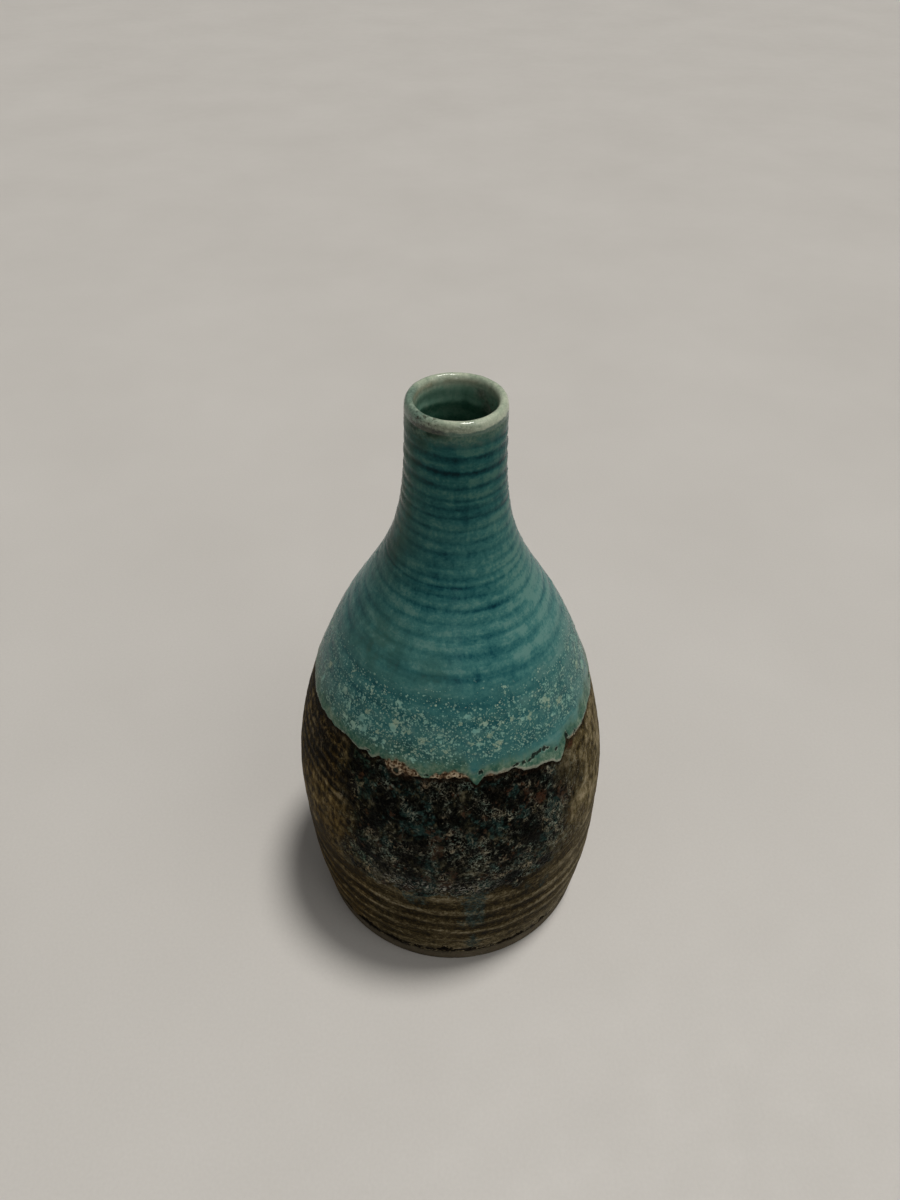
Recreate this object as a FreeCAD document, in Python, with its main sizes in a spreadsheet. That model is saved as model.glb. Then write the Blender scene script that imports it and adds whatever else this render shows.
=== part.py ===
# Bottle vase, wheel-thrown stoneware with four separate glaze and slip coats.
# Millimetres, +Z up, origin at the centre of the foot on the standing surface.
import FreeCAD, Part
import os
import sys
import Sketcher

V = FreeCAD.Vector
doc = FreeCAD.newDocument("BottleVase")

# ---------------------------------------------------------------- dimensions
sheet = doc.addObject("Spreadsheet::Sheet", "Dimensions")
ROW = [1]


def cell(alias, value, note=""):
    r = ROW[0]
    sheet.set("A%d" % r, alias)
    sheet.set("B%d" % r, str(value))
    sheet.set("C%d" % r, note)
    sheet.setAlias("B%d" % r, alias)
    ROW[0] += 1


# overall
cell("total_height", 260.0, "standing surface to crown of the lip")
cell("foot_radius", 64.0, "bare clay at the standing plane, before its bevel")
cell("foot_band_top", 8.6, "height of the arris where the coats stop")
cell("foot_bevel", 0.9, "worn bevel at the outer edge of the foot")
cell("recess_radius", 54.0, "turned recess under the foot")
cell("recess_depth", 3.0, "depth of that recess")
cell("recess_soft", 1.5, "softened corner inside the recess")
# clay wall, outside: control stations (height, radius) of its smooth curve, lowest first
OUTER = [(8.6, 64.6), (16.3, 65.5), (31.8, 67.1), (55.2, 67.43), (78.6, 67.8), (101.8, 65.01), (124.5, 59.23),
         (146.5, 51.62), (168.1, 42.4), (187.6, 29.6), (208.9, 19.61), (232.3, 16.6), (247.8, 16.16), (255.6, 16.1)]
for i, (z, r) in enumerate(OUTER, 1):
    cell("wall_out_z_%02d" % i, z, "outside of the clay, station %d, height" % i)
    cell("wall_out_rad_%02d" % i, r, "outside of the clay, station %d, radius" % i)
# clay wall, inside: control stations, lowest first; the last one starts the straight throat
INNER = [(27.0, 60.4), (33.5, 61.49), (46.6, 62.5), (66.3, 62.65), (86.0, 62.22), (105.4, 58.75), (124.5, 53.72),
         (143.1, 47.16), (161.0, 39.07), (178.4, 29.63), (194.9, 18.98), (207.4, 14.18), (214.0, 14.0)]
for i, (z, r) in enumerate(INNER, 1):
    cell("wall_in_z_%02d" % i, z, "inside of the clay, station %d, height" % i)
    cell("wall_in_rad_%02d" % i, r, "inside of the clay, station %d, radius" % i)
cell("floor_top", 10.0, "clay floor inside the vase")
cell("floor_flat_radius", 44.0, "flat part of that floor")
cell("throat_radius", 14.0, "clay radius of the straight throat")
cell("lip_inner_z", 256.6, "height where the throat rolls into the lip")
# the clay lip rolls over from the outside of the neck to the throat
LIP = [(258.0, 16.1), (259.4, 15.8), (259.5, 15.0), (259.4, 14.3), (258.4, 14.0)]
for i, (z, r) in enumerate(LIP, 1):
    cell("lip_z_%02d" % i, z, "clay lip, control station %d, height" % i)
    cell("lip_rad_%02d" % i, r, "clay lip, control station %d, radius" % i)
# the inside corner between the floor and the wall
HEEL = [(20.5, 59.2), (12.6, 56.0), (10.0, 50.5)]
for i, (z, r) in enumerate(HEEL, 1):
    cell("heel_z_%02d" % i, z, "inside corner, control station %d, height" % i)
    cell("heel_rad_%02d" % i, r, "inside corner, control station %d, radius" % i)
# coats
cell("turquoise_thick", 0.9, "thick upper glaze")
cell("lava_thick", 0.8, "crawled dark glaze of the belly")
cell("wash_thick", 0.7, "brown wash of the ridged lower wall")
cell("liner_thick", 0.5, "glaze inside the vase and over the lip")
cell("glaze_line", 132.6, "height where the upper glaze ends")
cell("wash_line", 67.6, "height where the dark glaze ends")
cell("lip_line", 255.6, "height where the upper glaze meets the lip coat")
cell("bury", 1.2, "how far a coat blank reaches into the clay before it is trimmed")
doc.recompute()


def val(alias):
    return float(sheet.get(alias))


ALL = []


def check(obj):
    bad = [s for s in obj.State if s in ("Invalid", "Error")]
    if bad:
        sys.exit("failed object %s: %s" % (obj.Name, obj.State))


def origin_plane(body, role):
    for f in body.Origin.OriginFeatures:
        if f.Role == role:
            return f
    sys.exit("no plane " + role)


def new_body(name):
    b = doc.addObject("PartDesign::Body", name)
    b.Label = name
    return b


def new_sketch(body, name):
    sk = body.newObject("Sketcher::SketchObject", name)
    sk.AttachmentSupport = [(origin_plane(body, "XZ_Plane"), "")]
    sk.MapMode = "FlatFace"
    return sk


def number(expr):
    """Value of a small expression of sheet cells: sums and differences only."""
    total, sign, tok = 0.0, 1.0, ""
    for part in expr.replace("-", " - ").replace("+", " + ").split():
        if part == "+":
            sign = 1.0
        elif part == "-":
            sign = -1.0
        else:
            total += sign * (float(part) if part[0].isdigit() else val(part))
            sign = 1.0
    return total


def bind(expr):
    return " ".join(p if p in "+-" or p[0].isdigit() else "Dimensions." + p
                    for p in expr.replace("-", " - ").replace("+", " + ").split())


class Outline:
    """A closed outline in the (radius, height) plane; every corner is driven by the sheet."""

    def __init__(self, body, name):
        self.sk = new_sketch(body, name)
        self.name = name
        self.first = None
        self.last = None      # (geometry, point) at the end of the chain
        self.at = None        # (radius expression, height expression)
        self.n = 0

    def start(self, rx, zx):
        self.at = (rx, zx)
        return self

    def vec(self, rz):
        return V(number(rz[0]), number(rz[1]), 0)

    def hold(self, geo, pos, rz, tag):
        sk = self.sk
        for k, (typ, ex) in enumerate((("DistanceX", rz[0]), ("DistanceY", rz[1]))):
            v = number(ex)
            if abs(v) < 1e-9:
                sk.addConstraint(Sketcher.Constraint("PointOnObject", geo, pos, -2 if k == 0 else -1))
                continue
            c = sk.addConstraint(Sketcher.Constraint(typ, -1, 1, geo, pos, v))
            sk.renameConstraint(c, "%s_%s" % (tag, "rad" if k == 0 else "z"))
            sk.setExpression("Constraints[%d]" % c, bind(ex))

    def join(self, geo):
        if self.last is not None:
            self.sk.addConstraint(Sketcher.Constraint("Coincident", self.last[0], self.last[1], geo, 1))
        else:
            self.first = geo
            self.hold(geo, 1, self.at, "p%02d" % self.n)
        self.n += 1

    def line(self, rx, zx, close=False):
        a, b = self.vec(self.at), self.vec((rx, zx))
        g = self.sk.addGeometry(Part.LineSegment(a, b), False)
        self.join(g)
        if close:
            self.sk.addConstraint(Sketcher.Constraint("Coincident", g, 2, self.first, 1))
        else:
            self.hold(g, 2, (rx, zx), "p%02d" % self.n)
        self.last, self.at = (g, 2), (rx, zx)
        return self

    def spline(self, stations, close=False):
        """Smooth cubic curve; each control station is held by the sheet."""
        pts = [self.vec(rz) for rz in stations]
        n = len(pts)
        inner = [float(i) for i in range(n - 2)]
        c = Part.BSplineCurve()
        c.buildFromPolesMultsKnots(pts, [4] + [1] * (n - 4) + [4], inner, False, 3)
        g = self.sk.addGeometry(c, False)
        self.join(g)
        batch, rings = [], []
        for i, p in enumerate(pts):
            k = self.sk.addGeometry(Part.Circle(p, V(0, 0, 1), 1.0), True)
            batch.append(Sketcher.Constraint("InternalAlignment:Sketcher::BSplineControlPoint", k, 3, g, i))
            rings.append(k)
        batch.append(Sketcher.Constraint("Weight", rings[0], 1.0))
        batch += [Sketcher.Constraint("Equal", rings[0], k) for k in rings[1:]]
        self.sk.addConstraint(batch)
        held = stations[:-1] if close else stations
        for i, rz in enumerate(held[1:], 1):
            self.hold(rings[i], 3, rz, "s%02d_%02d" % (self.n, i))
        if close:
            self.sk.addConstraint(Sketcher.Constraint("Coincident", g, 2, self.first, 1))
        self.last, self.at = (g, 2), stations[-1]
        return self


def out_stations(extra=""):
    return [("wall_out_rad_%02d%s" % (i, extra), "wall_out_z_%02d" % i) for i in range(1, len(OUTER) + 1)]


def in_stations(extra=""):
    return [("wall_in_rad_%02d%s" % (i, extra), "wall_in_z_%02d" % i) for i in range(1, len(INNER) + 1)]


def revolve(body, sk, name):
    rev = body.newObject("PartDesign::Revolution", name)
    rev.Profile = sk
    rev.ReferenceAxis = (sk, ["V_Axis"])
    rev.Angle = 360.0
    rev.Midplane = False
    sk.Visibility = False
    doc.recompute()
    check(sk)
    check(rev)
    return rev


# ------------------------------------------------------------- stoneware body
clay = new_body("stoneware_body")
o = Outline(clay, "ClaySection").start("0", "0")
o.line("foot_radius", "0")
o.line("wall_out_rad_01", "wall_out_z_01")
o.spline(out_stations())
o.spline([o.at] + [("lip_rad_%02d" % i, "lip_z_%02d" % i) for i in range(1, 6)] + [("throat_radius", "lip_inner_z")])
o.line("wall_in_rad_%02d" % len(INNER), "wall_in_z_%02d" % len(INNER))
o.spline(list(reversed(in_stations())))
o.spline([o.at] + [("heel_rad_%02d" % i, "heel_z_%02d" % i) for i in range(1, 4)] + [("floor_flat_radius", "floor_top")])
o.line("0", "floor_top")
o.line("0", "0", close=True)
revolve(clay, o.sk, "ClayTurned")
before = clay.Shape.Volume

# turned recess under the foot
rs = Outline(clay, "RecessSection").start("0", "0")
rs.line("recess_radius", "0")
rs.line("recess_radius", "recess_depth")
rs.line("0", "recess_depth")
rs.line("0", "0", close=True)
gr = clay.newObject("PartDesign::Groove", "FootRecess")
gr.Profile = rs.sk
gr.ReferenceAxis = (rs.sk, ["V_Axis"])
gr.Angle = 360.0
rs.sk.Visibility = False
doc.recompute()
check(gr)
if not clay.Shape.Volume < before - 20000.0:
    sys.exit("the recess under the foot cut nothing")


def circle_edge(shape, z, r, tol=0.05):
    for i, e in enumerate(shape.Edges, 1):
        c = e.Curve
        if isinstance(c, Part.Circle) and abs(c.Center.z - z) < tol and abs(c.Radius - r) < tol:
            return "Edge%d" % i
    sys.exit("no edge at z %g r %g" % (z, r))


bev = clay.newObject("PartDesign::Chamfer", "FootBevel")
bev.Base = (gr, [circle_edge(gr.Shape, 0.0, val("foot_radius"))])
bev.setExpression("Size", "Dimensions.foot_bevel")
bev.Size = val("foot_bevel")
doc.recompute()
check(bev)
soft = clay.newObject("PartDesign::Fillet", "RecessSoft")
soft.Base = (bev, [circle_edge(bev.Shape, val("recess_depth"), val("recess_radius"))])
soft.setExpression("Radius", "Dimensions.recess_soft")
soft.Radius = val("recess_soft")
doc.recompute()
check(soft)
clay.Tip = soft
doc.recompute()


# --------------------------------------------------------------- outer coats
def coat(name, thick, low, high):
    """A coat between two heights: a ring blank over the wall, trimmed, less the clay."""
    blank = new_body(name + "_blank")
    s = Outline(blank, name + "_section").start("wall_out_rad_01 - bury", "wall_out_z_01")
    s.line("wall_out_rad_01 + " + thick, "wall_out_z_01")
    s.spline(out_stations(" + " + thick))
    last = "%02d" % len(OUTER)
    s.line("wall_out_rad_" + last + " - bury", "wall_out_z_" + last)
    s.spline(list(reversed(out_stations(" - bury"))), close=True)
    revolve(blank, s.sk, name + "_turned")
    slab = doc.addObject("Part::Cylinder", name + "_slab")
    slab.Radius = 90.0
    slab.setExpression("Placement.Base.z", "Dimensions." + low)
    slab.setExpression("Height", "Dimensions.%s - Dimensions.%s" % (high, low))
    doc.recompute()
    ring = doc.addObject("Part::Common", name + "_ring")
    ring.Base = blank
    ring.Tool = slab
    doc.recompute()
    check(ring)
    cut = doc.addObject("Part::Cut", name)
    cut.Label = name
    cut.Base = ring
    cut.Tool = clay
    doc.recompute()
    check(cut)
    return cut


turquoise = coat("turquoise_glaze", "turquoise_thick", "glaze_line", "lip_line")
lava = coat("lava_glaze", "lava_thick", "wash_line", "glaze_line")
wash = coat("brown_wash", "wash_thick", "foot_band_top", "wash_line")

# ------------------------------------------------- liner glaze, over the lip
liner_blank = new_body("liner_glaze_blank")
last_in = "%02d" % len(INNER)
last_out = "%02d" % len(OUTER)
s = Outline(liner_blank, "LinerSection").start("0", "floor_top + liner_thick")
s.line("floor_flat_radius - liner_thick", "floor_top + liner_thick")
s.spline([s.at] + [("heel_rad_%02d - liner_thick" % i, "heel_z_%02d + liner_thick" % i) for i in (3, 2, 1)]
         + [("wall_in_rad_01 - liner_thick", "wall_in_z_01")])
s.spline(in_stations(" - liner_thick"))
s.line("throat_radius - liner_thick", "lip_inner_z")
s.spline([s.at, ("throat_radius - liner_thick", "lip_z_05 + 0.2"), ("lip_rad_04 - 0.3", "total_height"),
          ("lip_rad_03", "total_height"), ("lip_rad_02 + 0.5", "total_height"),
          ("wall_out_rad_%s + turquoise_thick" % last_out, "lip_z_01 + 0.3"),
          ("wall_out_rad_%s + turquoise_thick" % last_out, "lip_line")])
s.line("lip_rad_03", "lip_line")
s.line("lip_rad_03", "wall_in_z_" + last_in)
s.spline(list(reversed(in_stations(" + 1.0"))))
s.spline([s.at] + [("heel_rad_%02d + 1.0" % i, "heel_z_%02d - 1.0" % i) for i in (1, 2, 3)]
         + [("floor_flat_radius", "floor_top - 1.0")])
s.line("0", "floor_top - 1.0")
s.line("0", "floor_top + liner_thick", close=True)
revolve(liner_blank, s.sk, "LinerTurned")
liner = doc.addObject("Part::Cut", "liner_glaze")
liner.Label = "liner_glaze"
liner.Base = liner_blank
liner.Tool = clay
doc.recompute()
check(liner)

# -------------------------------------------------------------------- output
doc.recompute()
for ob in doc.Objects:
    check(ob)
os.makedirs("parts", exist_ok=True)
PIECES = [clay, liner, turquoise, lava, wash]
for p in PIECES:
    sh = p.Shape
    if sh.isNull() or not sh.isValid() or sh.Volume <= 0 or len(sh.Solids) != 1:
        sys.exit("bad shape %s null=%s valid=%s vol=%s solids=%d" % (p.Label, sh.isNull(), sh.isValid(), sh.Volume, len(sh.Solids)))
for i in range(len(PIECES)):
    for j in range(i):
        c = PIECES[i].Shape.common(PIECES[j].Shape)
        if c.Volume > 0.5:
            sys.exit("overlap of %s and %s: %.3f mm3" % (PIECES[i].Label, PIECES[j].Label, c.Volume))
for p in PIECES:
    p.Shape.exportStep(os.path.join("parts", p.Label + ".step"))
    bb = p.Shape.BoundBox
    print("%-16s volume %10.1f mm3  x %.2f..%.2f  z %.2f..%.2f" % (p.Label, p.Shape.Volume, bb.XMin, bb.XMax, bb.ZMin, bb.ZMax))
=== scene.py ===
import math

import bpy
import numpy as np
from mathutils import Matrix, Vector


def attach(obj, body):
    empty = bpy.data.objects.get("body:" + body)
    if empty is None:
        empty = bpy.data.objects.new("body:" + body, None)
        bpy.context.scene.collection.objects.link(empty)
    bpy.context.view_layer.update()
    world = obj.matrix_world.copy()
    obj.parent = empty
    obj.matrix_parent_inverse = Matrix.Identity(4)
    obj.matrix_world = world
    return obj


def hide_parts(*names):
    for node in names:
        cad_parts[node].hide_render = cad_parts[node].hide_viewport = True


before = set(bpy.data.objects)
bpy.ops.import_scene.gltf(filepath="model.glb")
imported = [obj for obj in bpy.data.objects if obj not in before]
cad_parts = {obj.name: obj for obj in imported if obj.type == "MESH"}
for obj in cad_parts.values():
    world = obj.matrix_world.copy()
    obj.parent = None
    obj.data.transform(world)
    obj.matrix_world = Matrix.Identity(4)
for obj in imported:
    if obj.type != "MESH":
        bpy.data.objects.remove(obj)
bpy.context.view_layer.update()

# Everything below is worked out in millimetres and written to the meshes in metres.
# phi is the angle round the vase in radians: 0 faces -Y, and it grows towards +X.
H = 260.0
TAU = 2 * math.pi
DEG = math.pi / 180


# ------------------------------------------------------------------ seeded noise
_GRAD = np.array([[1, 1, 0], [-1, 1, 0], [1, -1, 0], [-1, -1, 0], [1, 0, 1], [-1, 0, 1], [1, 0, -1], [-1, 0, -1],
                  [0, 1, 1], [0, -1, 1], [0, 1, -1], [0, -1, -1], [1, 1, 0], [0, -1, 1], [-1, 1, 0], [0, -1, -1]], float)


def hashed(i, j, k, seed):
    n = (i * 73856093) ^ (j * 19349663) ^ (k * 83492791) ^ (seed * 40503007)
    n = n & 0xFFFFFFFF
    n = ((n ^ (n >> 15)) * 739982445) & 0xFFFFFFFF
    n = ((n ^ (n >> 12)) * 695872825) & 0xFFFFFFFF
    return n ^ (n >> 16)


def noise3(p, seed):
    """Gradient noise, about -1 to 1, at points p (N, 3)."""
    i = np.floor(p).astype(np.int64)
    f = p - i
    u = f * f * f * (f * (f * 6 - 15) + 10)
    out = np.zeros(len(p))
    for dx in (0, 1):
        wx = u[:, 0] if dx else 1 - u[:, 0]
        for dy in (0, 1):
            wy = u[:, 1] if dy else 1 - u[:, 1]
            for dz in (0, 1):
                wz = u[:, 2] if dz else 1 - u[:, 2]
                g = _GRAD[hashed(i[:, 0] + dx, i[:, 1] + dy, i[:, 2] + dz, seed) & 15]
                dot = g[:, 0] * (f[:, 0] - dx) + g[:, 1] * (f[:, 1] - dy) + g[:, 2] * (f[:, 2] - dz)
                out += wx * wy * wz * dot
    return out * 1.25


def fbm(p, seed, octaves=4, gain=0.5):
    out, a, s, total = 0, 1.0, 1.0, 0.0
    for o in range(octaves):
        out = out + a * noise3(p * s, seed + 17 * o)
        total += a
        a *= gain
        s *= 2.07
    return out / total


def cells(phi, z, around, tall, seed):
    """Scattered cells on the wall: the two nearest distances in cells, and a number from 0 to 1 for the nearest cell."""
    u, v = (phi / TAU) % 1.0 * around, z / tall
    iu, iv = np.floor(u).astype(np.int64), np.floor(v).astype(np.int64)
    f1, f2, who = np.full(u.shape, 9.0), np.full(u.shape, 9.0), np.zeros(u.shape)
    for a in (-1, 0, 1):
        for b in (-1, 0, 1):
            cu, cv = iu + a, iv + b
            h = hashed(cu % around, cv, cu * 0 + 7, seed)
            jx, jy = (h & 0xFFFF) / 65535.0, (h >> 16) / 65535.0
            d = np.hypot(cu + jx - u, cv + jy - v)
            near = d < f1
            f2 = np.where(near, f1, np.minimum(f2, d))
            who = np.where(near, ((h >> 5) & 1023) / 1023.0, who)
            f1 = np.where(near, d, f1)
    return f1, f2, who


def smooth(a, b, x):
    t = np.clip((x - a) / (b - a), 0, 1)
    return t * t * (3 - 2 * t)


def bell(x, at, width):
    return np.exp(-((x - at) / width) ** 2)


def turn(phi, at_deg):
    """Signed angle from at_deg, in degrees, wrapped."""
    return (np.asarray(phi) / DEG - at_deg + 180.0) % 360.0 - 180.0


def natural_spline(xs, ys):
    """A C2 curve through the points, straight past its ends."""
    x, y = np.array(xs, float), np.array(ys, float)
    n, h = len(x), np.diff(x)
    a, b = np.zeros((n, n)), np.zeros(n)
    a[0, 0] = a[-1, -1] = 1
    for i in range(1, n - 1):
        a[i, i - 1], a[i, i], a[i, i + 1] = h[i - 1], 2 * (h[i - 1] + h[i]), h[i]
        b[i] = 6 * ((y[i + 1] - y[i]) / h[i] - (y[i] - y[i - 1]) / h[i - 1])
    m = np.linalg.solve(a, b)

    def at(t):
        t = np.asarray(t, float)
        k = np.clip(np.searchsorted(x, t) - 1, 0, n - 2)
        tc = np.clip(t, x[0], x[-1])
        p, q = x[k + 1] - tc, tc - x[k]
        v = (m[k] * p ** 3 + m[k + 1] * q ** 3) / (6 * h[k]) + (y[k] / h[k] - m[k] * h[k] / 6) * p + (y[k + 1] / h[k] - m[k + 1] * h[k] / 6) * q
        low = (y[1] - y[0]) / h[0] - h[0] * m[1] / 6
        high = (y[-1] - y[-2]) / h[-1] + h[-1] * m[-2] / 6
        return v + np.where(t < x[0], (t - x[0]) * low, 0) + np.where(t > x[-1], (t - x[-1]) * high, 0)

    return at


def bspline(poles, steps):
    """Points of a clamped uniform cubic B-spline with these control points."""
    poles = np.array(poles, float)
    n = len(poles)
    knots = np.concatenate([np.zeros(3), np.arange(n - 2), np.full(3, n - 3)]).astype(float)
    out = []
    for t in np.linspace(0, n - 3 - 1e-9, steps):
        k = int(np.searchsorted(knots, t, side="right") - 1)
        d = [poles[j + k - 3].copy() for j in range(4)]
        for r in range(1, 4):
            for j in range(3, r - 1, -1):
                lo, hi = knots[j + k - 3], knots[j + 1 + k - r]
                al = (t - lo) / (hi - lo)
                d[j] = (1 - al) * d[j - 1] + al * d[j]
        out.append(d[3])
    return np.array(out)


# ------------------------------------------------------------------ the thrown form
outside = natural_spline(
    [0, 10.4, 23.4, 41.6, 62.4, 85.8, 109.2, 130, 150.8, 171.6, 189.8, 205.4, 221, 239.2, 256.9],
    [64.75, 65.6, 67.0, 68.05, 68.3, 67.6, 63.7, 58.0, 50.4, 40.5, 29.8, 22.8, 19.06, 17.34, 16.93])


def lean(z):
    """The pot was thrown a little off true: its upper part stands to the left of its foot."""
    return 0.9 - 1.8 * smooth(-12, 112, z)


def point(phi, z, r):
    phi, z, r = np.broadcast_arrays(np.asarray(phi, float), z, r)
    return np.stack([r * np.sin(phi) + lean(z), -r * np.cos(phi), z], -1)


def on_wall(phi, z, h):
    """A point h mm out from the smooth outer wall, along its normal."""
    slope = (outside(z + 0.5) - outside(z - 0.5))
    c = 1 / np.sqrt(1 + slope ** 2)
    return point(phi, z - h * slope * c, outside(z) + h * c)


# Throwing rings: heights of the grooves at the front, from the lip down, and how strong each is.
GROOVES = [(.986, .25), (.969, .55), (.952, .95), (.9305, 1.05), (.909, 1.15), (.890, .8), (.877, .5), (.864, .85), (.846, .8), (.829, .45), (.812, .45),
           (.793, .45), (.778, .5), (.768, .9), (.757, .4), (.738, 1.0), (.720, .45), (.704, .65), (.684, .65), (.655, .95), (.619, .8),
           (.594, .8), (.570, .35), (.545, .3), (.521, .3), (.498, .6), (.475, .9), (.455, .9), (.432, .9), (.409, .9), (.385, .9),
           (.362, .7), (.340, .6), (.318, .6), (.296, .5), (.271, .6), (.2155, .9), (.180, 1.0), (.1455, 1.0), (.1105, .8), (.075, .5), (.045, .35),
           (.012, .1)]
_gz = np.array([g[0] for g in GROOVES]) * H
_gs = np.array([g[1] for g in GROOVES])
_fine = np.arange(-20, 290, 0.25)
_idx = np.interp(-_fine, -_gz, np.arange(len(_gz)), left=-1, right=len(_gz))
_idx = np.where(_fine > _gz[0], -(_fine - _gz[0]) / 6.0, _idx)
_idx = np.where(_fine < _gz[-1], len(_gz) - 1 + (_gz[-1] - _fine) / 8.0, _idx)
_k = np.exp(-(np.arange(-16, 17) * 0.25 / 1.0) ** 2)
_idx = np.convolve(np.pad(_idx, 16, "edge"), _k / _k.sum(), "valid")


def rings(phi, z, p):
    """(groove signal from 0 on a crest to 1 in a groove, how strong the rings are here)."""
    tilt = 2.6 * smooth(170, 90, z)
    zw = z + tilt * np.sin(phi) + 0.35 * noise3(p / np.array([26.0, 26.0, 11.0]), 31) + smooth(85, 60, z) * (0.9 * noise3(p / np.array([13.0, 13.0, 9.0]), 32) + 0.35 * noise3(p / np.array([5.0, 5.0, 5.0]), 33))
    t = np.interp(zw, _fine, _idx)
    wrapped = (phi + math.pi) % TAU - math.pi
    u = t - wrapped / TAU
    k = np.round(u)
    strong = np.interp(t, np.arange(len(_gs)), _gs)
    strong = strong * (0.86 + 0.38 * noise3(p / np.array([22.0, 22.0, 9.0]), 37))
    shape = (0.5 + 0.5 * np.cos(TAU * (u - k)))
    return shape, np.clip(strong, 0, 1.3)


# The lower edge of the upper glaze: angle in degrees and height as a share of the vase.
EDGE = [(-80, .5165), (-71, .5145), (-63, .5155), (-56, .5170), (-52, .5180), (-48, .5205), (-44.5, .5220), (-41.5, .5205), (-38.5, .5175), (-36.5, .5185),
        (-34.2, .5200), (-32, .5150), (-30, .5185), (-28, .5213), (-26.2, .5195), (-25, .5120), (-22.5, .5035), (-20, .5028), (-17, .5053), (-13, .5076),
        (-10.6, .5079), (-9, .5100), (-7, .5085), (-5, .5113), (-1.6, .5106), (2, .5126), (5.8, .5119), (7.2, .5105), (8.6, .5045), (10.1, .4975),
        (11.6, .5035), (13, .5095), (15.3, .5096), (17.6, .5073), (19.2, .5089), (21.6, .5093), (24, .5109), (26.6, .5088), (29, .5012), (31.6, .4981),
        (34.2, .4943), (36.6, .4927), (39, .4923), (41.5, .4896), (44, .4829), (46, .4787), (48, .4824), (50, .4938), (51.5, .5030), (53.8, .4976),
        (55.8, .4947), (59, .4936), (61.7, .4922), (65, .4939), (70, .4974), (76, .4983), (82, .4940), (88, .4985), (94, .5000), (98, .4955),
        (101, .4945), (105, .4970), (108, .4890), (110.5, .4835), (112.5, .4870), (115, .4970), (121, .5030), (127, .4985), (131, .4975), (136, .5020),
        (143, .5110), (150, .5050), (154, .4965), (157.5, .4910), (160.5, .4925), (164, .5030), (170, .5100), (176, .5085), (184, .5140), (193, .5190),
        (200, .5145), (206, .5060), (210, .5005), (213, .5035), (217, .5120), (221, .5135), (226, .5040), (231, .5030), (236, .5120), (243, .5170),
        (249, .5105), (253, .5080), (258, .5130), (264, .5120), (268, .5100), (274, .5190)]
# How far a thin tan crust reaches above that edge before the thick green glaze begins: angle and width in mm.
CRUST = [(-80, 0), (-60, 0), (-40, 0), (-28, 0), (-26.3, .3), (-24.5, 3.2), (-23, 5.2), (-21, 6.4), (-19.5, 6.1), (-17.2, 4.5), (-14.4, 3.4), (-12, 1.8),
         (-10.3, .3), (-8.5, 0), (-7, .9), (-4, 2.0), (0, 2.9), (3, 2.5), (6, 1.4), (8, .2), (9.5, 0), (12.5, .1), (14.5, 1.0), (17, 1.2), (20, .7),
         (24, .4), (30, .3), (38, .3), (46, 0), (52, .2), (56, .9), (62, .6), (70, .3), (82, .5), (92, 1.5), (97, 3.8), (101, 4.6), (105, 3.0),
         (109, .3), (118, .2), (125, 2.5), (130, 4.8), (135, 3.4), (141, .5), (158, 0), (168, 1.0), (173, 2.0), (179, 1.2), (190, 0), (210, 0),
         (220, 1.0), (226, 4.2), (231, 4.4), (237, 1.6), (246, .2), (260, .6), (266, 2.4), (271, 1.0), (276, 0)]


def round_spline(table):
    """A closed smooth curve round the vase through (angle in degrees, value) pairs."""
    xa, ya = np.array([t[0] for t in table], float), np.array([t[1] for t in table], float)
    xs = np.concatenate([xa[-2:] - 360, xa, xa[:3] + 360])
    ys = np.concatenate([ya[-2:], ya, ya[:3]])

    def at(phi):
        a = (np.asarray(phi) / DEG - xa[0]) % 360.0 + xa[0]
        k = np.clip(np.searchsorted(xs, a, side="right") - 1, 1, len(xs) - 3)
        x0, x1, x2, x3 = xs[k - 1], xs[k], xs[k + 1], xs[k + 2]
        y0, y1, y2, y3 = ys[k - 1], ys[k], ys[k + 1], ys[k + 2]
        m1, m2 = (y2 - y0) / (x2 - x0), (y3 - y1) / (x3 - x1)
        w = x2 - x1
        t = (a - x1) / w
        return (2 * t ** 3 - 3 * t ** 2 + 1) * y1 + (t ** 3 - 2 * t ** 2 + t) * w * m1 + (-2 * t ** 3 + 3 * t ** 2) * y2 + (t ** 3 - t ** 2) * w * m2

    return at


_edge, _crust = round_spline(EDGE), round_spline(CRUST)


def edge_height(phi):
    """Height of the lower edge of the upper coat in mm, with a fine raggedness."""
    ring = np.stack([57 * np.sin(phi), -57 * np.cos(phi), np.zeros_like(phi)], -1)
    return _edge(phi) * H + 0.52 * noise3(ring / 2.6, 51) + 0.34 * noise3(ring / 1.15, 53)


def crust_width(phi):
    ring = np.stack([57 * np.sin(phi), -57 * np.cos(phi), np.zeros_like(phi)], -1)
    return np.maximum(_crust(phi), 0) * (1 + 0.30 * noise3(ring / 2.3, 55))


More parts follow.
